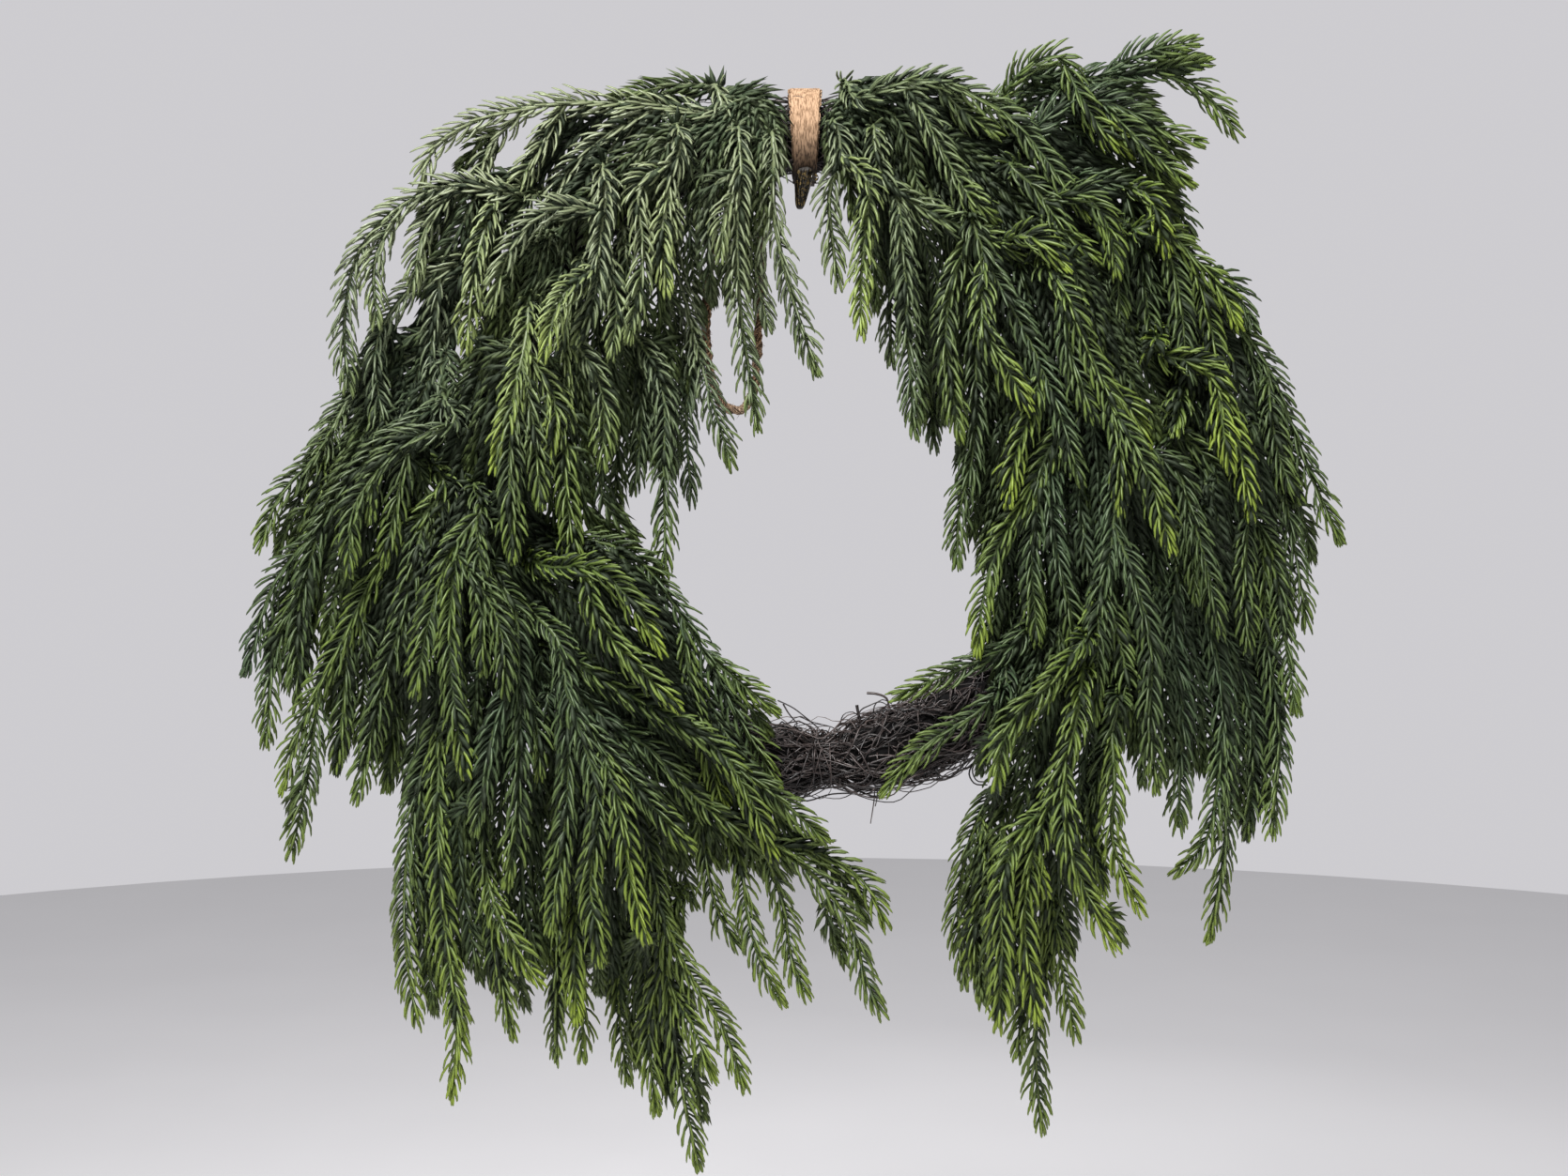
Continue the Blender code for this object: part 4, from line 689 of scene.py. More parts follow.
# Each spray's clock angle on the ring, its root's angle from the front, its depth off the wall in
# millimetres and its tails. A tail's places are centimetres across and up on a sheet off the wall, as the
# eye sees them
SPRAYS = (
    ("spray_r01", 5, 0, 60, (
        (GREEN, (1.9, -2.7), (1.3, -5.5), (1.5, -8), (1.8, -10.5)),
        (YOUNG, (1.9, -3.1), (3.3, -4.6), (3.2, -7.5), (3, -10), (3, -13)),
    )),
    ("spray_r02", 12, 0, 72, (
        (GREEN, (4.3, -4.6), (6.6, -6.3), (9.2, -7.4), (11.9, -8.8)),
        (GREEN, (5, -5.2), (5.3, -9), (5.5, -13), (5.85, -18.4)),
        (GREEN, (8.7, -7.2), (8, -9.6), (7.5, -12.5), (7.8, -15.5), (8.3, -18.6)),
        (YOUNG, (10.4, -7.9), (12, -7.6), (13.2, -8.5), (14.3, -9.5)),
    )),
    ("spray_r03", 17, -40, 36, (
        (DARK, (4.4, -7), (4.5, -10), (4.6, -14.6)),
        (DARK, (4.5, -8), (6.6, -10.5), (6.7, -14), (6.9, -19.2)),
    )),
    ("spray_r04", 6, 55, 66, (
        (GREEN, (2.8, -0.2), (5, 0.5), (7.2, 0.7), (9.2, -0.2), (11, -1.3), (12.6, -3.2), (15.3, -6.7)),
        (GREEN, (5.2, 0.5), (6.6, -1.6), (7.4, -3.2), (8.6, -5.2), (10.4, -7)),
        (GREEN, (6.8, 0.6), (8.4, -0.9), (10.5, -2.3)),
    )),
    ("spray_r05", 28, 70, 38, (
        (GREEN, (9.5, -1), (11.5, 0.1), (14, 0.7), (17, 1), (19.5, 1.4), (21.7, 1.7)),
        (GREEN, (15.6, 0.9), (17.4, 1.9), (19.2, 2.5), (21.1, 2.8)),
        (GREEN, (18.6, 1.3), (20.4, 0.7), (21.9, -0.6), (23.3, -2.5)),
        (YOUNG, (10.4, -0.2), (11.8, 1.4), (13.4, 2), (14.5, 0.2), (15.6, -1.6), (17.7, -3.3)),
    )),
    ("spray_r06", 34, 60, 52, (
        (GREEN, (11.6, -2.4), (13.5, -0.8), (15.5, -0.3), (17.2, -0.9), (19, -1.9), (21.3, -2.7)),
        (GREEN, (15.8, -0.4), (17.2, -1.9), (18.8, -3.4), (20.7, -5)),
        (DARK, (14.4, -0.6), (15.2, -3), (17, -4.4)),
    )),
    ("spray_r07", 38, 30, 66, (
        (GREEN, (10.9, -3.8), (12.4, -5.2), (13.8, -7.3), (15.8, -9)),
        (GREEN, (12.8, -5.8), (14.9, -5.4), (16.1, -7), (16.7, -9.8)),
    )),
    ("spray_r08", 44, 60, 46, (
        (GREEN, (15, -4.7), (16.8, -4.9), (17.6, -7), (18.1, -10.4), (18.7, -14.4)),
        (YOUNG, (16.6, -4.8), (18.3, -5.4), (18.9, -7), (19.3, -8.7)),
        (DARK, (16, -4.7), (18.8, -4.9), (20.2, -6.7), (20.6, -8.3)),
        (GREEN, (17.4, -6.6), (16.7, -9.5), (16.9, -12.6)),
    )),
    ("spray_r09", 52, 75, 42, (
        (YOUNG, (17, -7.3), (18.8, -7.2), (20.8, -8.8), (22.3, -10.6), (23.2, -12.6)),
        (DARK, (21, -9), (22.9, -10.4), (24.1, -12.8)),
        (YOUNG, (20.4, -8.6), (21.4, -11.5), (21.9, -14), (22.1, -17)),
        (GREEN, (19, -7.4), (20, -11), (20.2, -14.5), (19.7, -18.4)),
    )),
    ("spray_r10", 60, 80, 34, (
        (GREEN, (18.6, -10.5), (21.5, -11), (24, -13.5), (25.6, -16.8), (27, -20.4), (28.6, -24)),
        (GREEN, (24.6, -14.8), (24.9, -17.5), (25.5, -20), (26.5, -21.8)),
        (GREEN, (23.4, -12.8), (24.6, -17.5), (25.7, -22), (26.3, -25.5), (26.8, -28.7)),
    )),
    ("spray_r11", 70, 70, 54, (
        (YOUNG, (18.8, -13.8), (21.3, -14.5), (22.7, -17.5), (23.4, -20), (23.8, -22.8)),
        (YOUNG, (21.8, -15.4), (22.3, -18), (22.7, -20.2)),
        (DARK, (20.3, -14.2), (20.7, -18), (21.4, -22.2)),
    )),
    ("spray_r12", 80, 75, 40, (
        (GREEN, (19.5, -17), (22.6, -20.6), (24.8, -24.3), (25.5, -28.5), (26.2, -33.1)),
        (GREEN, (23.6, -22.2), (23.4, -26), (23.6, -29.8)),
        (GREEN, (24.4, -23.6), (24.6, -29), (25.3, -34), (24.8, -39.9)),
    )),
    ("spray_r13", 48, 0, 84, (
        (YOUNG, (12.8, -9), (13.9, -10.6), (14.8, -13), (16.1, -16), (16.8, -19), (16.9, -22.5)),
        (GREEN, (13.8, -10.4), (14.1, -13.6), (14.8, -15.7), (15.6, -17.6)),
        (YOUNG, (15.6, -14.8), (17.6, -17.2), (18.3, -18.9)),
        (YOUNG, (16.3, -16.6), (17.9, -19.4), (18.9, -22), (19.6, -24.6)),
    )),
    ("spray_r14", 30, -10, 76, (
        (GREEN, (8.8, -6.4), (10, -9.5), (11.8, -12.8), (13.2, -16), (14.8, -20.9)),
        (YOUNG, (9.6, -8.6), (9.7, -12.8), (11, -15), (12.1, -17)),
        (YOUNG, (12.6, -14.6), (12, -17), (11.2, -19.4), (10.8, -22)),
    )),
    ("spray_r15", 26, -40, 58, (
        (GREEN, (8.1, -8), (9, -12), (9.1, -16), (8.9, -19.5), (8.2, -22.5), (8.1, -25.3)),
        (DARK, (9, -12.6), (10.1, -15.6), (10.6, -17.8)),
        (DARK, (9.1, -16.4), (9.9, -20.5), (10.1, -24)),
    )),
    ("spray_r16", 42, -30, 64, (
        (GREEN, (11.4, -9), (12.4, -13), (13, -17), (12.9, -21), (12.2, -24.3)),
        (GREEN, (13, -18.4), (13.2, -23), (14.1, -27.3), (14.7, -30.6)),
        (GREEN, (13, -17), (14.6, -19.6), (15.7, -23.6)),
    )),
    ("spray_r17", 78, -20, 62, (
        (YOUNG, (13.8, -17.6), (11.8, -21.4), (10.1, -24.6), (9.4, -27.5), (9.2, -30)),
        (GREEN, (12.8, -19.6), (12.1, -25), (12.4, -29.4)),
        (DARK, (11.6, -21.8), (11, -26), (10.4, -31.2)),
    )),
    ("spray_r18", 84, 0, 78, (
        (GREEN, (16.6, -20.8), (16.3, -24.2), (15.7, -27), (15.6, -30), (15.4, -33.6)),
        (GREEN, (16.4, -23), (17.6, -26), (18.4, -29), (18.4, -33), (18.7, -37.3)),
        (GREEN, (15.8, -26), (16.8, -29.3), (17.2, -32), (16.5, -35.5)),
    )),
    ("spray_r19", 88, 50, 58, (
        (GREEN, (18.2, -18.8), (19.8, -20), (20.4, -23), (20.9, -27.2)),
        (GREEN, (20, -20.8), (21.2, -24.5), (22.2, -29)),
        (GREEN, (19.2, -19.4), (18.6, -23), (18.9, -26), (19.8, -30)),
    )),
    ("spray_r20", 98, 70, 46, (
        (GREEN, (19.2, -22.8), (21, -26.5), (22.1, -31), (22.4, -36), (22.3, -40.5), (21.5, -45.2)),
        (GREEN, (22.2, -33.5), (21.9, -37.4), (21.3, -39.9), (19.6, -41.7)),
        (DARK, (21.3, -27.5), (23.4, -31), (23.9, -35.5), (23.5, -39.8)),
        (GREEN, (20, -24.6), (19.6, -28.5), (20.1, -33), (20, -36), (19.9, -39.7)),
    )),
    ("spray_r21", 116, 0, 88, (
        (YOUNG, (15.1, -28.7), (13.9, -30.4), (12.6, -32), (11.1, -34.2)),
        (YOUNG, (13.2, -31.2), (11.4, -33), (10.4, -35), (10.2, -37.3)),
    )),
    ("spray_r22", 122, 10, 92, (
        (YOUNG, (14.8, -30.8), (14.3, -34), (13.2, -37.3), (12.1, -40.5), (11.7, -44), (12.4, -49.6)),
        (YOUNG, (13, -37.8), (11.2, -39.8), (10.5, -42.5), (10.5, -46), (10.3, -50)),
        (YOUNG, (12.2, -40.2), (12.9, -42.8)),
        (YOUNG, (13.8, -35.6), (14, -39.5), (15.2, -43), (16.7, -45.8)),
    )),
    ("spray_r23", 110, 30, 74, (
        (GREEN, (16.8, -28.6), (16.6, -33), (15.6, -36.4), (15.2, -39), (16, -42.8)),
        (YOUNG, (16.4, -34), (16.5, -36.8), (16.4, -39.8), (17.2, -42), (18, -43.8)),
    )),
    ("spray_r24", 128, 20, 62, (
        (GREEN, (13.8, -32.5), (13.6, -36), (13, -41), (12.7, -46), (12.3, -51), (12.6, -55.4)),
        (GREEN, (13, -41.4), (13.6, -46), (14.5, -50.5)),
        (GREEN, (12.7, -45.8), (11.6, -48.8), (11.3, -51.5)),
    )),
    ("spray_r25", 136, 0, 52, (
        (DARK, (11, -33.4), (10.2, -36.6), (8.9, -39.5), (8.2, -43), (8.5, -47.7)),
        (GREEN, (9.5, -38.4), (9.9, -41), (9.1, -44.5), (9.6, -48.9)),
    )),
    ("spray_r26", 126, -30, 60, (
        (GREEN, (11, -29.4), (8.6, -30.5), (6.4, -31.4), (4.5, -32.2)),
        (DARK, (10.8, -29.7), (10.7, -31.5), (10.4, -33.2)),
    )),
    ("spray_r27", 142, -10, 62, (
        (GREEN, (9.2, -33), (7.6, -33.9), (5.8, -35.3), (4.1, -37.4)),
    )),
    ("spray_l01", -6, -10, 58, (
        (GREEN, (-1.6, -3.6), (-1.7, -5.4), (-1.1, -9.2), (-0.2, -12.3), (0.7, -15)),
        (DARK, (-1.6, -6), (-2.6, -8.6), (-1.9, -12.8)),
    )),
    ("spray_l02", -12, 0, 66, (
        (GREEN, (-3.4, -3.8), (-3.6, -7.5), (-3.4, -11.8), (-2.9, -15.2), (-2.5, -18)),
        (GREEN, (-3.5, -4.4), (-4.3, -6.6), (-4.5, -9)),
    )),
    ("spray_l03", -22, 20, 62, (
        (GREEN, (-6.6, -2.8), (-7.2, -4.6), (-6.7, -7.8)),
        (GREEN, (-6.9, -3.6), (-8.5, -4.4), (-8.6, -8.6), (-9.4, -13.3)),
        (YOUNG, (-7.2, -4.8), (-7.6, -7.8), (-7.3, -10.8)),
    )),
    ("spray_l04", -14, 60, 46, (
        (GREEN, (-4.4, -0.9), (-8, -0.6), (-12, -0.5), (-15, -0.8), (-18, -1.7), (-19.9, -3.2),
         (-20.6, -5.6)),
        (GREEN, (-12.6, -0.5), (-14.3, -3.2), (-15.8, -5.6)),
        (GREEN, (-14.6, -0.7), (-16.9, -3), (-17.2, -5.6), (-16.8, -8)),
        (DARK, (-7.6, -0.6), (-10.8, -2.4), (-13, -4.8), (-13.6, -7.8)),
    )),
    ("spray_l05", -36, 20, 72, (
        (GREEN, (-10.6, -5.4), (-10.9, -8), (-11.2, -10.8), (-12.3, -13.5)),
        (GREEN, (-10.7, -6.2), (-13.5, -6.2), (-15.6, -8.2), (-16.8, -11.7)),
        (GREEN, (-10.9, -8), (-10, -11), (-10.3, -14.2)),
        (YOUNG, (-11, -9), (-13, -11), (-14, -14.2)),
    )),
    ("spray_l06", -46, 60, 50, (
        (GREEN, (-15.2, -5.4), (-18, -4.8), (-21.5, -6), (-23.6, -8.2), (-24.5, -12), (-24.3, -16.2)),
        (GREEN, (-21.6, -6.1), (-22.9, -9), (-22.8, -12.5)),
        (GREEN, (-18.6, -4.9), (-20.3, -7.5), (-21, -10.8)),
        (YOUNG, (-16.2, -5.1), (-17.4, -8.5), (-18.1, -13.8)),
    )),
    ("spray_l07", -58, 70, 38, (
        (GREEN, (-17.8, -8.8), (-20.5, -10), (-22.7, -13), (-22.6, -17), (-22.4, -20.2)),
        (DARK, (-19.2, -9.3), (-19.9, -14), (-19.2, -20.7)),
    )),
    ("spray_l08", -68, 80, 30, (
        (DARK, (-18.8, -12.6), (-22, -14.4), (-24.6, -16.6), (-26.6, -20)),
        (GREEN, (-24.2, -16.3), (-26, -19.3), (-28, -21.5), (-29.2, -24.5)),
        (YOUNG, (-25.2, -17.5), (-26, -22), (-26.8, -28.9)),
    )),
    ("spray_l09", -76, 75, 42, (
        (GREEN, (-19.2, -16), (-22.4, -18.6), (-25.4, -22.4), (-26.8, -27), (-27, -32.9)),
        (DARK, (-25.6, -22.8), (-28.2, -26), (-29.8, -31)),
        (GREEN, (-26.6, -26), (-28.2, -29.6), (-28.7, -35)),
    )),
    ("spray_l10", -82, 50, 62, (
        (GREEN, (-18.6, -17.4), (-21.4, -18.6), (-23, -20.6), (-23.2, -22.9)),
        (GREEN, (-22.6, -20), (-24, -22), (-24.3, -25.7)),
        (GREEN, (-21, -18.4), (-21.8, -22), (-22.4, -25.2)),
    )),
    ("spray_l11", -92, 70, 48, (
        (GREEN, (-19.2, -20.6), (-22.3, -24.6), (-24.8, -29.5), (-26.8, -33.6), (-27.9, -37.3)),
        (GREEN, (-25.8, -31.6), (-26.4, -36), (-27.4, -40.8)),
        (GREEN, (-24.4, -28.6), (-24.5, -32), (-25, -36.3)),
        (GREEN, (-20.4, -22), (-21.2, -27), (-22.6, -32), (-23.9, -37.8)),
        (GREEN, (-21.5, -28.5), (-21.9, -33), (-22.3, -37.2)),
    )),
    ("spray_l12", -97, 10, 78, (
        (GREEN, (-17.2, -22.2), (-18.5, -23.8), (-19.9, -27.6), (-20.8, -32.2)),
        (GREEN, (-17.4, -22.6), (-17.2, -26.5), (-17.1, -31)),
        (YOUNG, (-18.6, -24), (-18.9, -29), (-18.6, -33), (-18, -36.5)),
        (GREEN, (-17.3, -25), (-16.2, -28.5), (-15.9, -32.3)),
    )),
    ("spray_l13", -62, -10, 74, (
        (YOUNG, (-14.8, -12.8), (-15.4, -15.5), (-16.6, -20.2)),
        (GREEN, (-15, -14), (-14.4, -18), (-14, -22.1)),
        (YOUNG, (-14.9, -13.4), (-13.3, -16.5), (-13.6, -19.6)),
        (GREEN, (-15.3, -15.6), (-15.7, -20), (-15.5, -25)),
    )),
    ("spray_l14", -50, -30, 64, (
        (YOUNG, (-12.6, -11.5), (-12.8, -15.4), (-12.8, -19.6), (-12.1, -26)),
        (GREEN, (-12.6, -12.4), (-10.9, -15.6), (-10.7, -20.1)),
    )),
    ("spray_l15", -40, -40, 50, (
        (DARK, (-10, -9.6), (-9, -14), (-8.7, -17.6), (-9.1, -21.4)),
        (GREEN, (-9.3, -12), (-7.6, -15.6), (-7.5, -20), (-7.4, -25.7)),
    )),
    ("spray_l16", -28, -50, 40, (
        (DARK, (-7, -8.4), (-6, -12.6), (-6.3, -17.5), (-6, -22)),
        (GREEN, (-6.1, -12), (-5.2, -15.5), (-3.8, -20)),
    )),
    ("spray_l17", -112, -20, 82, (
        (YOUNG, (-13.6, -25.2), (-11, -25.4), (-9, -27.4), (-7.5, -29.9)),
        (YOUNG, (-12, -25.2), (-10.6, -28.6), (-8.8, -30.6), (-6.6, -32.9)),
    )),
    ("spray_l18", -108, -50, 60, (
        (GREEN, (-12.6, -23.6), (-9.4, -24.4), (-6.8, -27.4), (-5, -30.4), (-3.3, -33.6), (-1.3, -37)),
        (GREEN, (-5.4, -29.7), (-3.3, -31.5), (-1.4, -33)),
        (YOUNG, (-6.4, -27.9), (-6, -32), (-5, -35.6), (-4.1, -39)),
    )),
    ("spray_l19", -128, 0, 74, (
        (YOUNG, (-10.4, -31.4), (-7.6, -33), (-4.6, -35), (-2.7, -38), (-1.6, -40.9)),
        (GREEN, (-4.2, -35.4), (-1.2, -37.7), (1.3, -39.9)),
    )),
    ("spray_l20", -138, 20, 64, (
        (GREEN, (-8.6, -34.6), (-5.2, -38), (-1.8, -39.9), (1.4, -40.7), (3.4, -42.3), (4.4, -44.5)),
        (GREEN, (-1.4, -40), (0.8, -42), (2.6, -44.6), (3.2, -47), (4.2, -49.3)),
        (GREEN, (-2.4, -39.6), (-1.1, -43.4), (-0.7, -46), (0.15, -48.3)),
    )),
    ("spray_l21", -147, 10, 50, (
        (GREEN, (-7, -36), (-4.4, -38.2), (-3.4, -41), (-3, -44), (-2.2, -46.6), (-1.1, -48.6)),
        (DARK, (-5.6, -37.1), (-5.3, -40.4), (-4.6, -43.6), (-3.4, -45.8)),
        (DARK, (-6.4, -36.4), (-6.7, -40.6), (-5.8, -43.4)),
    )),
    ("spray_l22", -120, 0, 90, (
        (GREEN, (-13.2, -29), (-12.4, -32.5), (-10.2, -35.4), (-8.2, -37.8), (-5.9, -40.4)),
        (YOUNG, (-10.8, -34.8), (-9.8, -38.4), (-9.3, -41.8), (-8.4, -45.2)),
        (GREEN, (-12.6, -31.4), (-12.6, -37), (-13, -41), (-13.6, -44.8)),
        (GREEN, (-12.3, -32.8), (-11, -38), (-11.4, -42), (-10.9, -46.5)),
    )),
    ("spray_l23", -109, 20, 74, (
        (GREEN, (-15.6, -27), (-15.2, -31.5), (-15.2, -36), (-15.4, -39.5), (-15.9, -42.3)),
        (GREEN, (-15.3, -30.4), (-16.6, -34), (-17.1, -37), (-17.6, -39.5)),
        (GREEN, (-15.2, -31), (-14.2, -34), (-14.1, -36.6)),
    )),
    ("spray_l24", -105, 50, 52, (
        (GREEN, (-17.8, -26), (-19, -32), (-20.6, -37), (-21.3, -42), (-21.2, -46), (-20.6, -49.8)),
        (YOUNG, (-19.5, -33.5), (-19.5, -40), (-19.1, -45), (-18.5, -49.8), (-18.8, -53.7)),
        (GREEN, (-21.1, -40.4), (-19.9, -43.6), (-18.9, -47), (-18.1, -50.6)),
    )),
    ("spray_l25", -118, 30, 58, (
        (GREEN, (-15.4, -31), (-16.7, -35), (-17.1, -40.6), (-16.6, -44.6), (-16.1, -47.4), (-15.5, -50.4)),
        (YOUNG, (-17, -41), (-16.2, -44), (-15.1, -46), (-13.9, -47.6)),
    )),
    ("spray_l26", -126, 20, 54, (
        (DARK, (-13, -32.6), (-13.4, -36.5), (-13.3, -41.5), (-13.2, -46.5), (-13.2, -51.7)),
        (YOUNG, (-13.3, -40.5), (-12.2, -43.6), (-12.3, -46.6), (-12.1, -49.5)),
        (GREEN, (-13.2, -43.4), (-11.9, -48), (-11.8, -51.6)),
    )),
    ("spray_l27", -133, 10, 66, (
        (GREEN, (-10.2, -34), (-8.9, -38), (-7.9, -42.5), (-7.3, -47), (-6.7, -52), (-5.6, -57.4)),
        (GREEN, (-7.8, -43.4), (-6.3, -46.6), (-4.4, -49.6), (-3.1, -53.2)),
        (GREEN, (-7.5, -45.6), (-8.3, -50), (-7.9, -54.4)),
        (GREEN, (-7.2, -47.4), (-5.9, -49.8), (-4.8, -52.7)),
        (DARK, (-8.4, -40.4), (-9.7, -44.6), (-9.9, -48.6), (-9.4, -52.8)),
    )),
)


def seen(across, up, depth):
    """The point at this depth off the wall, in metres, on the sight line through a route's two numbers."""
    sheet = np.array((across * 0.01 + SHEET_SHIFT[0], -SHEET_DEPTH, up * 0.01 + SHEET_SHIFT[1]))
    return EYE + (sheet - EYE) * (-EYE[1] - depth) / (-EYE[1] - SHEET_DEPTH)


tails = []
for number, (_, clock, face, depth, routes) in enumerate(SPRAYS):
    root, normal = on_bundle(math.radians(clock), math.radians(face), 0.0)
    leader = len(tails)
    for i, (look, *route) in enumerate(routes):
        layer = depth / 1000 + LOOK_DEPTH[look] + (0.0, 0.005, -0.005, 0.010, -0.010)[i % 5]
        if i == 0:
            start = [root, root + LEAD_OUT * normal]
            joint = None
            start.append(seen(*route[0], (layer + LEAD_OUT - start[1][1]) / 2))
        else:
            path = tails[leader]["path"]
            joint = int(np.argmin([np.linalg.norm(seen(*route[0], -spot[1]) - spot) for spot in path]))
            start = [path[joint]]
        places = start + [seen(*spot, layer) for spot in route[1:]]
        direction = places[-1] - places[-2]
        places[-1] = places[-1] - TIP_TRIM * direction / np.linalg.norm(direction)
        tails.append({
            "spray": number,
            "look": look,
            "leader": leader if i else None,
            "joint": joint,
            "path": smooth_path(places, STEP),
        })

sizes = [len(tail["path"]) for tail in tails]
starts = np.concatenate(((0,), np.cumsum(sizes)))
fixed = smooth_path(LOOP_ROUTE, 2 * STEP)
points = np.concatenate([tail["path"] for tail in tails] + [fixed])
spray = np.concatenate(
    [np.full(size, tail["spray"]) for size, tail in zip(sizes, tails)] + [np.full(len(fixed), -1)]
)
free = np.zeros(len(points))
for tail, start, size in zip(tails, starts, sizes):
    free[start:start + size] = np.clip((lengths_along(tail["path"]) - 0.008) / 0.014, 0.0, 1.0)
for _ in range(ROUNDS):
    tree = KDTree(len(points))
    for i, spot in enumerate(points):
        tree.insert(spot, i)
    tree.balance()
    push = np.zeros(len(points))
    for i in np.flatnonzero(spray >= 0):
        for _, j, _ in tree.find_range(points[i], CLEARANCE):
            if spray[j] == spray[i]:
                continue
            between = points[i] - points[j]
            level = CLEARANCE**2 - between[0] ** 2 - between[2] ** 2
            nearer = -between[1]
            front = nearer > 0 if abs(nearer) > 1e-5 else spray[i] > spray[j]
            lack = math.sqrt(max(level, 0.0)) - abs(nearer)
            share = 0.5 if spray[j] >= 0 else 1.0
            push[i] += 0.5 * share * (lack if front else -lack)
    off_axis = np.hypot(points[:, 0] - RING_CENTRE[0], points[:, 2] - RING_CENTRE[2]) - RING_RADIUS
    room = (BUNDLE_RADIUS + RING_ROOM) ** 2 - off_axis**2
    ring_front = -RING_CENTRE[1] + np.sqrt(np.maximum(room, 0.0))
    depth = -points[:, 1]
    near_ring = (room > 0) & (depth < ring_front)
    push[near_ring] += 0.6 * (ring_front - depth)[near_ring]
    push += 0.5 * np.maximum(LEAST_DEPTH - depth, 0.0) - 0.5 * np.maximum(depth - MOST_DEPTH, 0.0)
    push = np.clip(push, -0.004, 0.004)
    for tail, start, size in zip(tails, starts, sizes):
        part = push[start:start + size] * free[start:start + size]
        for _ in range(3):
            part[1:-1] = 0.25 * part[:-2] + 0.5 * part[1:-1] + 0.25 * part[2:]
        if tail["leader"] is not None:
            carried = push[starts[tail["leader"]] + tail["joint"]]
            part += carried * (1.0 - free[start:start + size])
        push[start:start + size] = part
    push[spray < 0] = 0.0
    sight = (points - EYE) / (points[:, 1] - EYE[1])[:, None]
    points = points - sight * push[:, None]
for tail, start, size in zip(tails, starts, sizes):
    tail["path"] = points[start:start + size]

# Fill-in tails. Where the tails above leave a gap that others surround, a shorter side tail grows into it
# from its neighbour's stem. It runs as its neighbours do and a little behind them. The hole, the bare
# stretch of the ring, the band's place and the gaps near the rim stay open, and the foliage beside the band
# is closed. Their outlines are in a route's two numbers.
OPEN_OUTLINE = (
    (-1.1, 1.0), (-1.4, -5.2), (-2.7, -7.2), (-3.0, -10.5), (-5.4, -10.8), (-5.9, -16.5), (-6.6, -18.5),
    (-6.8, -21.0), (-8.2, -21.5), (-7.6, -25.0), (-5.4, -28.0), (-3.8, -31.1), (-1.8, -33.0), (-1.6, -35.0),
    (-0.8, -37.6), (3.9, -37.6), (5.2, -36.5), (8.6, -35.0), (10.4, -33.5), (10.0, -30.0), (8.8, -29.5),
    (8.6, -25.5), (7.3, -23.8), (6.8, -20.0), (5.2, -18.5), (4.4, -14.5), (3.4, -10.0), (2.8, -6.8),
    (1.6, -5.2), (1.2, 1.0),
)
GAP_OUTLINES = (
    ((18.2, 1.4), (22.4, 1.2), (23.4, -1.3), (23.0, -4.0), (20.8, -3.6), (18.6, -1.7)),
    ((-20.6, -1.6), (-17.0, -1.2), (-18.4, -4.2), (-20.4, -4.2)),
    ((-16.2, -1.4), (-14.2, -0.9), (-14.4, -3.2), (-16.6, -4.4)),
    ((-9.3, -19.0), (-7.7, -19.0), (-7.4, -23.8), (-9.0, -23.8)),
    ((-22.6, -5.4), (-20.4, -5.4), (-20.0, -12.4), (-22.4, -12.4)),
    ((-25.0, -9.4), (-22.6, -9.4), (-22.6, -13.4), (-25.0, -13.4)),
    ((-28.8, -31.4), (-25.4, -31.4), (-25.0, -36.0), (-28.8, -36.0)),
    ((-7.2, -40.6), (0.8, -41.6), (0.6, -49.6), (-6.0, -50.6)),
    ((-12.6, -47.6), (-10.2, -47.6), (-10.2, -51.6), (-12.6, -51.6)),
    ((16.0, -36.6), (22.4, -35.6), (22.4, -42.6), (16.0, -42.6)),
    ((5.0, -35.0), (9.2, -34.6), (9.8, -36.6), (8.0, -41.0), (5.0, -41.0)),
)
COVERED_OUTLINES = (
    ((-9.5, 0.3), (-8.0, 0.9), (-5.5, 1.0), (-3.0, 0.8), (-1.6, 0.1), (-1.6, -4.6), (-9.5, -4.6)),
    ((1.5, 0.1), (3.2, 0.8), (6.0, 1.1), (8.5, 1.1), (8.5, -3.0), (1.5, -4.2)),
)
GRID = 0.5
SURROUND = 3.0
STRETCH = 1.6
WIDEST_GAP = 0.50
LARGE_GAP = 1.2
MOST_FILL = 400
FLOW_REACH = 1.4
DOWNWARD = 0.1
STRIDE = 0.4
AT_STEM = 0.3
MOST_TO_STEM = 16
MOST_STRIDES = 30
LEAST_STRIDES = 9
SET_BACK = 0.010
NEAR_SET_BACK = 0.004


def on_sheet(points):
    """Where the sight lines to these points cross the sheet, in a route's two numbers."""
    sight = (points - EYE) / (points[:, 1] - EYE[1])[:, None]
    sheet = EYE + sight * (-SHEET_DEPTH - EYE[1])
    return (sheet[:, (0, 2)] - SHEET_SHIFT) / 0.01


def inside(spots, outline):
    """Whether each spot lies inside an outline."""
    within = np.zeros(len(spots), bool)
    for (x0, y0), (x1, y1) in zip(outline, outline[1:] + outline[:1]):
        if y0 != y1:
            crossing = x0 + (spots[:, 1] - y0) / (y1 - y0) * (x1 - x0)
            within ^= ((y0 > spots[:, 1]) != (y1 > spots[:, 1])) & (spots[:, 0] < crossing)
    return within


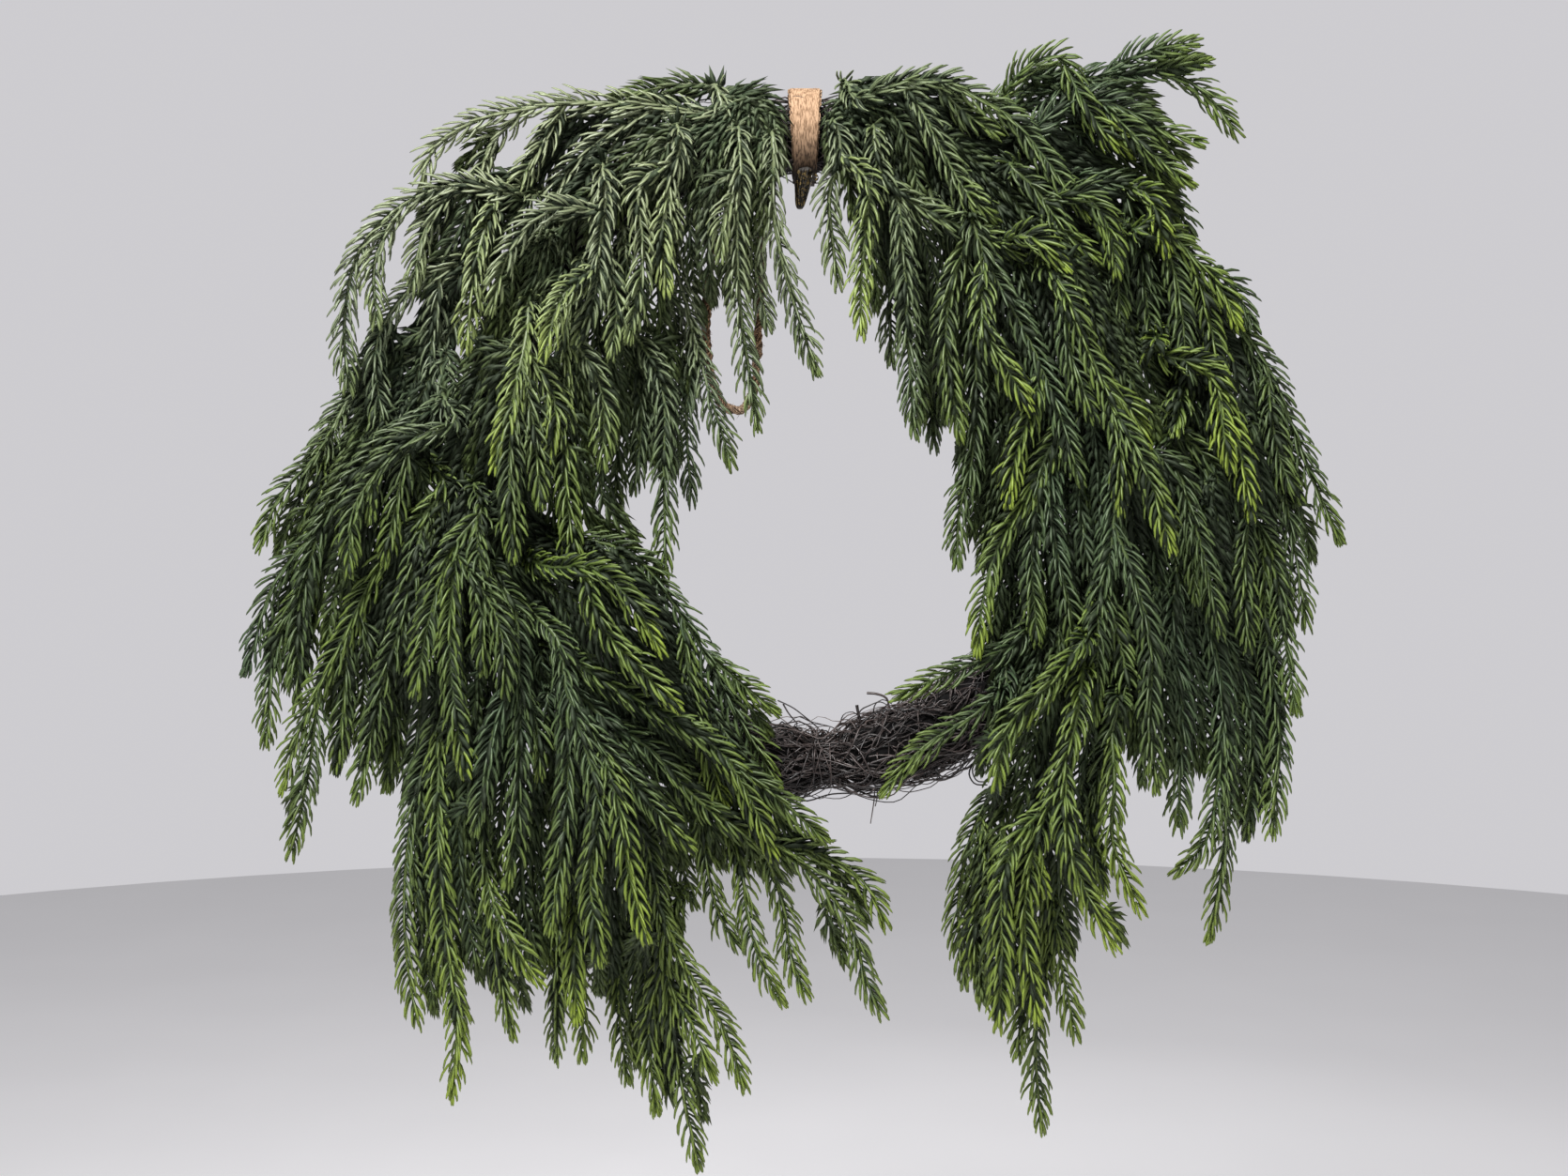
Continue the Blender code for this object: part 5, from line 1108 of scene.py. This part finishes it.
flat = on_sheet(np.concatenate([tail["path"] for tail in tails]))
depths = -np.concatenate([tail["path"][:, 1] for tail in tails])
owner = np.concatenate([np.full(size, i) for i, size in enumerate(sizes)])
place_in = np.concatenate([np.arange(size) for size in sizes])
heading = np.concatenate([np.gradient(flat[owner == i], axis=0) for i in range(len(tails))])
heading /= np.maximum(np.linalg.norm(heading, axis=1), 1e-9)[:, None]
corner = np.floor(flat.min(axis=0))
columns = int((flat[:, 0].max() - corner[0]) / GRID) + 2
rows = int((flat[:, 1].max() - corner[1]) / GRID) + 2
cells = np.meshgrid(corner[0] + GRID * np.arange(columns), corner[1] + GRID * np.arange(rows))
cells = np.stack(cells, axis=-1)
# A cell is closed where tails lie all round it, and ground where they lie nearly all round it
gap = np.empty((rows, columns))
sectors = np.empty((rows, columns), int)
for row in range(rows):
    away = flat[None] - cells[row][:, None]
    gap[row] = np.hypot(away[..., 0], away[..., 1]).min(axis=1)
    away[..., 1] /= STRETCH
    near = np.hypot(away[..., 0], away[..., 1]) < SURROUND
    sector = np.where(near, np.floor(np.arctan2(away[..., 1], away[..., 0]) / math.tau * 8) % 8, -1)
    sectors[row] = sum((sector == k).any(axis=1).astype(int) for k in range(8))
closed = sectors == 8
ground = sectors >= 6
for outline in COVERED_OUTLINES:
    closed |= inside(cells.reshape(-1, 2), outline).reshape(rows, columns)
for outline in (OPEN_OUTLINE, *GAP_OUTLINES):
    clear = inside(cells.reshape(-1, 2), outline).reshape(rows, columns)
    closed &= ~clear
    ground &= ~clear
gap[~closed] = 0.0


def flow(spot):
    """Which way the tails round a spot lead, and how far off the wall they are there."""
    pull = np.exp(-((flat - spot) ** 2).sum(axis=1) / FLOW_REACH**2)
    lead = (pull[:, None] * heading).sum(axis=0) / pull.sum() + (0.0, -DOWNWARD)
    return lead / np.linalg.norm(lead), float((pull * depths).sum() / pull.sum())


def at(table, spot):
    """A table of cells read at a spot."""
    column, row = ((spot - corner) / GRID).round().astype(int)
    return 0 <= row < rows and 0 <= column < columns and table[row, column]


def grow(line, wide):
    """Adds a fill-in tail along spots of the sheet, from the stem nearest to the first of them."""
    root = int(np.argmin(np.linalg.norm(flat - line[0], axis=1)))
    parent = tails[owner[root]]
    places = [parent["path"][place_in[root]]]
    for i, spot in enumerate(line[2:]):
        layer = flow(spot)[1] - min(1.0, 0.25 * (i + 1)) * (NEAR_SET_BACK if wide else SET_BACK)
        point = seen(*spot, max(LEAST_DEPTH, layer))
        off_axis = math.hypot(point[0] - RING_CENTRE[0], point[2] - RING_CENTRE[2]) - RING_RADIUS
        room = (BUNDLE_RADIUS + RING_ROOM) ** 2 - off_axis**2
        if room > 0:
            layer = max(layer, -RING_CENTRE[1] + math.sqrt(room))
        places.append(seen(*spot, max(LEAST_DEPTH, layer)))
    if len(places) >= 4:
        tails.append({
            "spray": parent["spray"],
            # Fill-in tails in closed gaps, unless wide, take the dark look of painted shade
            "look": DARK if at(closed, line[-1]) and not wide else GREEN,
            "leader": owner[root],
            "joint": place_in[root],
            "path": smooth_path(places[:1] + places[1:-1:3] + places[-1:], STEP),
        })


made = len(tails)
while len(tails) < made + MOST_FILL and gap.max() > WIDEST_GAP:
    seed = np.unravel_index(np.argmax(gap), gap.shape)
    line = [cells[seed]]
    wide = gap[seed] > LARGE_GAP
    while len(line) < MOST_TO_STEM and np.linalg.norm(flat - line[0], axis=1).min() > AT_STEM:
        before = line[0] - STRIDE * flow(line[0])[0]
        if not at(closed | ground, before):
            break
        line.insert(0, before)
    while len(line) < MOST_STRIDES and (
        at(closed, line[-1]) or len(line) < LEAST_STRIDES and at(ground, line[-1])
    ):
        line.append(line[-1] + STRIDE * flow(line[-1])[0])
    line = np.array(line)
    for spot in line:
        gap = np.minimum(gap, np.linalg.norm(cells - spot, axis=-1))
    gap[seed] = 0.0
    grow(line, wide)
# A few more close the foliage up to the band, on either side of it, and in two places at the left
for spots in (
    ((-3.0, 0.4), (-2.2, -0.1), (-1.7, -0.8), (-1.5, -1.8), (-1.6, -3.2), (-1.9, -4.6)),
    ((-3.4, -0.5), (-2.4, -0.9), (-1.9, -1.6), (-1.5, -2.7), (-1.4, -3.8)),
    ((3.0, 0.1), (2.3, -0.1), (1.8, -0.7), (1.6, -1.6), (1.5, -2.8), (1.7, -4.2)),
    ((3.4, -0.6), (2.5, -1.0), (1.9, -1.7), (1.6, -2.7), (1.6, -3.6)),
    ((-19.2, -13.2), (-18.9, -14.4), (-18.6, -15.6), (-18.5, -17.0)),
    ((-20.6, -19.4), (-20.3, -20.8), (-20.0, -22.0), (-19.8, -23.6)),
):
    stops = np.linspace(0, len(spots) - 1, 12)
    grow(np.stack([np.interp(stops, range(len(spots)), axis) for axis in zip(*spots)], axis=1), True)


def make_needle(stations):
    """The corners and faces of one needle, upright on the origin and a unit long, three-sided and blunt.

    A station gives a height and the half width there.
    """
    bpy.ops.object.select_all(action="DESELECT")
    bpy.ops.mesh.primitive_circle_add(vertices=3, radius=0.8, fill_type="NOTHING")
    needle = bpy.context.object
    bpy.ops.object.mode_set(mode="EDIT")
    bpy.ops.mesh.select_all(action="SELECT")
    rise, wide = 0.0, 0.8
    for height, reach in stations:
        bpy.ops.mesh.extrude_region_move(TRANSFORM_OT_translate={"value": (0, 0, height - rise)})
        bpy.ops.transform.resize(value=(reach / wide, reach / wide, 1.0), center_override=(0, 0, height))
        rise, wide = height, reach
    bpy.ops.mesh.merge(type="CENTER")
    bpy.ops.object.mode_set(mode="OBJECT")
    corners = np.array([vertex.co for vertex in needle.data.vertices])
    faces = np.array([(*face.vertices, face.vertices[0])[:4] for face in needle.data.polygons])
    sides = np.array([len(face.vertices) for face in needle.data.polygons])
    bpy.data.objects.remove(needle)
    return corners, faces, sides


# A full needle is thick nearly to its end. Those behind, which lie in the shade, are plainer
FULL_NEEDLE = make_needle(((0.30, 1.0), (0.65, 0.95), (0.90, 0.65), (1.0, 0.2)))
PLAIN_NEEDLE = make_needle(((0.45, 1.0), (1.0, 0.2)))


def frames_along(path):
    """Directions ahead, across and to the front along a path. Across stays nearly level with the wall."""
    ahead = np.gradient(path, axis=0)
    ahead /= np.linalg.norm(ahead, axis=1)[:, None]
    across = np.empty_like(ahead)
    side = np.cross(ahead[0], (0.0, -0.7, 0.7))
    for i, direction in enumerate(ahead):
        side = 0.3 * side / np.linalg.norm(side) + np.cross(direction, (0.0, -1.0, 0.0))
        side = side - side.dot(direction) * direction
        across[i] = side / np.linalg.norm(side)
    return ahead, across, np.cross(across, ahead)


# The needles stand in threes by turns on either side of the stem: towards the front, sideways and towards
# the back. A few lie over the stem. Tails that others surround have more of them behind, wide, in painted
# shade.
STEPS = (0.0, 0.34, 0.66, 0.50, 0.84, 0.16)
OPEN_TURNS = (48, 8, -26, 132, 172, 206)
REAR_TURNS = (-8, -42, -75, 188, 222, 255)
FRONT = {"pattern": FULL_NEEDLE, "turns": OPEN_TURNS, "pitch": 0.0074, "width": 0.0020}
FILL = {"pattern": PLAIN_NEEDLE, "turns": OPEN_TURNS, "pitch": 0.0062, "width": 0.0026}
# Deep fill-in and rear needles are wide: a dark backing of painted shade that closes the gaps between tails
DEEP_FILL = {**FILL, "width": 0.0034}
BEHIND = {"pattern": PLAIN_NEEDLE, "turns": REAR_TURNS, "pitch": 0.0066, "width": 0.0037}
NEEDLE_LENGTH = 0.0146
NEEDLE_OPENING = 58
NEEDLE_CLOSING = 7
OVER_STEM = 0.06
TIP_ZONE = 0.018
YOUNG_ZONE = 0.05
BEND_STEPS = 20
# Dark tails lie in shade, so they get only the oldest, darkest green: painted shade. Younger tails yellow
# towards the tip
FRESHNESS_AND_SHADE = {DARK: (0.0, 0.12), GREEN: (0.12, 0.55), YOUNG: (0.50, 1.0)}


def needles(path, kind, first, look, shade):
    """The needles along a tail: their points, what the material reads at each point, and their number."""
    corners = kind["pattern"][0]
    pitch = kind["pitch"]
    away = lengths_along(path)
    length = away[-1]
    ahead, across, front = frames_along(path)
    s = (np.arange(first, length, pitch)[:, None] + np.multiply(STEPS, pitch)).ravel()
    count = len(s)
    turn = np.radians(np.tile(kind["turns"], count // len(STEPS))) + s * rng.uniform(-4, 4)
    turn = turn + rng.normal(0, 0.16, count)
    turn = np.where(rng.random(count) < OVER_STEM, rng.normal(math.pi / 2, 0.5, count), turn)
    turn = turn + rng.normal(0, 0.16)
    s = s + rng.normal(0, 0.0004, count)
    left = length - s
    near_tip = np.clip(1.0 - left / TIP_ZONE, 0.0, 1.0)
    size = rng.normal(NEEDLE_LENGTH, 0.0010, count) * (1.0 - 0.45 * near_tip)
    size *= np.clip(0.55 + (s - first) / 0.02, 0.55, 1.0)
    opening = np.radians(rng.normal(NEEDLE_OPENING, 6, count)) * (1.0 - 0.60 * near_tip)
    closing = np.radians(rng.normal(NEEDLE_CLOSING, 6, count)) * (1.0 - 0.70 * near_tip)
    pick = [np.interp(s, away, axis[:, k]) for axis in (path, ahead, across, front) for k in range(3)]
    foot, ahead, across, front = np.array(pick).T.reshape(count, 4, 3).transpose(1, 0, 2)
    ahead /= np.linalg.norm(ahead, axis=1)[:, None]
    out = np.cos(turn)[:, None] * across + np.sin(turn)[:, None] * front
    over = np.cross(ahead, out)
    foot = foot + 0.0005 * out
    u = np.linspace(0.0, 1.0, BEND_STEPS + 1)
    bends = opening[:, None] + (closing - opening)[:, None] * u**0.8
    bends = bends + rng.normal(0, 0.05, count)[:, None] * np.sin(math.pi * u)
    at_foot = np.zeros((count, 1))
    step = 1 / BEND_STEPS
    run = np.concatenate((at_foot, np.cumsum(step * np.cos(bends[:, 1:]), axis=1)), axis=1)
    rise = np.concatenate((at_foot, np.cumsum(step * np.sin(bends[:, 1:]), axis=1)), axis=1)
    row = np.clip((corners[:, 2] * BEND_STEPS).round().astype(int), 0, BEND_STEPS)
    run, rise, bends = run[:, row], rise[:, row], bends[:, row]
    sway = rng.normal(0, 0.03, count)[:, None] * corners[:, 2] ** 1.5
    half = 0.5 * kind["width"] * rng.uniform(0.9, 1.1, count)[:, None]
    thick = 0.8 * half * corners[:, 1]
    line = (size[:, None] * run - thick * np.sin(bends))[..., None] * ahead[:, None]
    line += (size[:, None] * rise + thick * np.cos(bends))[..., None] * out[:, None]
    line += (half * corners[:, 0] + size[:, None] * sway)[..., None] * over[:, None]
    points = foot[:, None] + line
    oldest, youngest = FRESHNESS_AND_SHADE[look]
    growth = oldest + (youngest - oldest) * np.clip(1.0 - left / YOUNG_ZONE, 0, 1) ** 1.6
    growth = np.clip(growth + rng.normal(0, 0.06, count) + rng.normal(0, 0.07), 0, 1)
    data = np.empty((count, len(corners), 3))
    data[..., 0] = corners[:, 2]
    data[..., 1] = growth[:, None]
    data[..., 2] = shade + 0.4 * rng.random(count)[:, None]
    return points.reshape(-1, 3), data.reshape(-1, 3), count


# The needles' plastic: deep green at the foot, partly painted shade where needles crowd the stem, lighter
# along it, bluish in patches, and yellow-green where growth is young. A needle's attribute holds the share
# along it, its growth and its painted shade
material, shader, place = new_material("needle_green")
look = place.node("ShaderNodeAttribute", {}, "Vector", attribute_name="needle")
along_share = place.node("ShaderNodeSeparateXYZ", {0: look}, 0)
growth = place.node("ShaderNodeSeparateXYZ", {0: look}, 1)
shade = place.node("ShaderNodeSeparateXYZ", {0: look}, 2)
patch = place.noise(28.0, 2.0)
grain = place.noise(1100.0, 2.0)
old_and_shaded = along_share.ramp(0.0, 0.75).mix((0.020, 0.034, 0.012), (0.050, 0.076, 0.027))
ripe = along_share.ramp(0.0, 0.7).mix((0.036, 0.060, 0.010), (0.106, 0.152, 0.027))
young = along_share.ramp(0.0, 0.6).mix((0.070, 0.105, 0.010), (0.200, 0.270, 0.032))
colour = (growth * 2.0).ramp(0.0, 1.0).mix(old_and_shaded, ripe)
colour = (growth * 2.0 - 1.0).ramp(0.0, 1.0).mix(colour, young)
bluish = place.noise(9.0, 1.0).ramp(0.46, 0.62) * (1.0 - growth)
colour = (0.45 * bluish).mix(colour, (0.040, 0.068, 0.043))
# Painted shade: the shade value darkens stems, fill-in and rear needles towards near black. Random patches
# and a random share per needle darken all a little
colour = (0.5 * shade + 0.2 * patch.ramp(0.3, 0.7)).mix(colour, (0.008, 0.014, 0.006))
deep_in = shade.ramp(0.4, 1.2)
# Painted light: the upper left sprays are paler, as lit from above left, and the lowest lighter and
# yellower
upward = place.node("ShaderNodeSeparateXYZ", {0: place}, 2)
sideways = place.node("ShaderNodeSeparateXYZ", {0: place}, 0)
painted_light_upper_left = upward.ramp(-0.26, -0.02) * (1.0 - sideways.ramp(-0.10, 0.16)) * (1.0 - deep_in)
colour = (0.52 * painted_light_upper_left * along_share.ramp(0.0, 0.4)).mix(colour, (0.225, 0.245, 0.145))
painted_light_low = (1.0 - upward.ramp(-0.50, -0.32)) * (1.0 - deep_in)
colour = (0.24 * painted_light_low * along_share.ramp(0.1, 0.6)).mix(colour, (0.230, 0.300, 0.030))
feed(
    shader,
    Base_Color=colour,
    Roughness=grain.ramp(0.3, 0.7) * 0.12 + 0.20 * deep_in + 0.44,
    Normal=bump(place, grain, 0.2, 0.0003),
    Specular_IOR_Level=0.38,
    Specular_Tint=(0.94, 1.0, 0.80, 1.0),
    Coat_Weight=(0.34 * painted_light_upper_left + 0.10) * (1.0 - deep_in),
    Coat_Roughness=0.38,
)

# What the material reads on a stem, painted shade included, the stems' radii, and the painted shade of
# fill-in and rear needles
STEM_FACTS = (0.60, 0.25, 0.6)
LEADER_RADIUS = 0.0018
SIDE_RADIUS = 0.0014
TIP_RADIUS = 0.0008
FILL_SHADE = 0.8
DEEP_SHADE = 1.5
for number, (name, *_) in enumerate(SPRAYS):
    spots, data, faces, sides, used = [], [], [], [], 0
    stems, widths = [], []
    for index, tail in enumerate(tails):
        if tail["spray"] != number:
            continue
        path = smooth_path(tail["path"], 0.0015)
        leads = tail["leader"] is None
        stems.append(path[::4])
        share = np.linspace(0, 1, len(stems[-1]))
        widths.append(np.interp(share, (0, 1), (LEADER_RADIUS if leads else SIDE_RADIUS, TIP_RADIUS)))
        kind, dim = FRONT, 0.0
        if index >= made:
            kind, dim = (FILL, FILL_SHADE) if tail["look"] == GREEN else (DEEP_FILL, DEEP_SHADE)
        sets = [(path, kind, 0.007 if leads else 0.0025, tail["look"], dim)]
        if index < made:
            within = np.array([0] + [int(at(closed, spot)) for spot in on_sheet(path)] + [0])
            runs = np.flatnonzero(np.diff(within)).reshape(-1, 2)
            sets += [(path[a:b], BEHIND, 0.0, DARK, DEEP_SHADE) for a, b in runs if b - a > 12]
        for each in sets:
            more, facts, count = needles(*each)
            corners, corner_faces, corner_sides = each[1]["pattern"]
            spots.append(more)
            data.append(facts)
            shift = used + np.arange(count) * len(corners)
            faces.append((corner_faces[None] + shift[:, None, None]).reshape(-1, 4))
            sides.append(np.tile(corner_sides, count))
            used += len(more)
    spots = np.concatenate(spots)
    data = np.concatenate(data)
    mesh = bpy.data.meshes.new(name + "_needles")
    faces = np.concatenate(faces).tolist()
    sides = np.concatenate(sides).tolist()
    mesh.from_pydata(spots.tolist(), [], [tuple(face[:side]) for face, side in zip(faces, sides)])
    mesh.attributes.new("needle", "FLOAT_VECTOR", "POINT").data.foreach_set("vector", data.ravel())
    foliage = bpy.data.objects.new(name + "_needles", mesh)
    bpy.context.scene.collection.objects.link(foliage)
    stem = strands(name + "_stems", stems, widths)
    facts = np.tile(STEM_FACTS, (len(stem.data.vertices), 1))
    stem.data.attributes.new("needle", "FLOAT_VECTOR", "POINT").data.foreach_set("vector", facts.ravel())
    foliage = join(name + "_look", foliage, stem)
    foliage.data.shade_smooth()
    foliage.data.materials.clear()
    foliage.data.materials.append(material)
    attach(foliage, "root")
    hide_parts(name)


# The studio: a pale floor below the hanging wreath, a broad soft light from above and in front, weaker ones
# from the front and from behind, and a pale surround that lights the wreath less than it shows.
SURROUND_COLOUR = (0.74, 0.73, 0.76, 1.0)
SURROUND_LIGHT = 0.18
SURROUND_SEEN = 0.83
bpy.ops.mesh.primitive_circle_add(vertices=96, radius=4.0, fill_type="NGON", location=(0, 0, -1.1))
floor = bpy.context.object
floor.name = "floor"
material, shader, place = new_material("floor_paint")
feed(
    shader,
    Base_Color=place.noise(3.0).ramp(0.2, 0.8).mix((0.80, 0.79, 0.80), (0.84, 0.83, 0.84)),
    Roughness=0.7,
    Emission_Color=SURROUND_COLOUR,
    Emission_Strength=0.35,
)
floor.data.materials.append(material)
floor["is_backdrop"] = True

for name, place_at, target, size, power in (
    ("key", (-0.40, -0.98, 0.95), (0.0, -0.05, -0.25), 0.7, 64.0),
    ("front", (0.5, -1.7, -0.3), (0.0, -0.05, -0.4), 1.2, 7.0),
    ("back", (0.5, 1.7, 0.2), (0.0, 0.0, -0.3), 1.2, 4.0),
):
    bpy.ops.object.light_add(type="AREA", location=place_at)
    light = bpy.context.object
    light.name = name
    light.data.shape = "DISK"
    light.data.size = size
    light.data.energy = power
    light.rotation_euler = (Vector(target) - Vector(place_at)).to_track_quat("-Z", "Y").to_euler()

world = bpy.data.worlds.new("surround")
bpy.context.scene.world = world
world.use_nodes = True
surround = world.node_tree.nodes["Background"]
surround.inputs["Color"].default_value = SURROUND_COLOUR
sight = world.node_tree.nodes.new("ShaderNodeLightPath").outputs["Is Camera Ray"]
strength = Value(world.node_tree, sight) * (SURROUND_SEEN - SURROUND_LIGHT) + SURROUND_LIGHT
world.node_tree.links.new(strength.socket, surround.inputs["Strength"])
bpy.context.scene.view_settings.view_transform = "Standard"


low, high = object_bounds()
sizes = {"cad": [list(cad_low), list(cad_high)], "visual": [list(low), list(high)]}
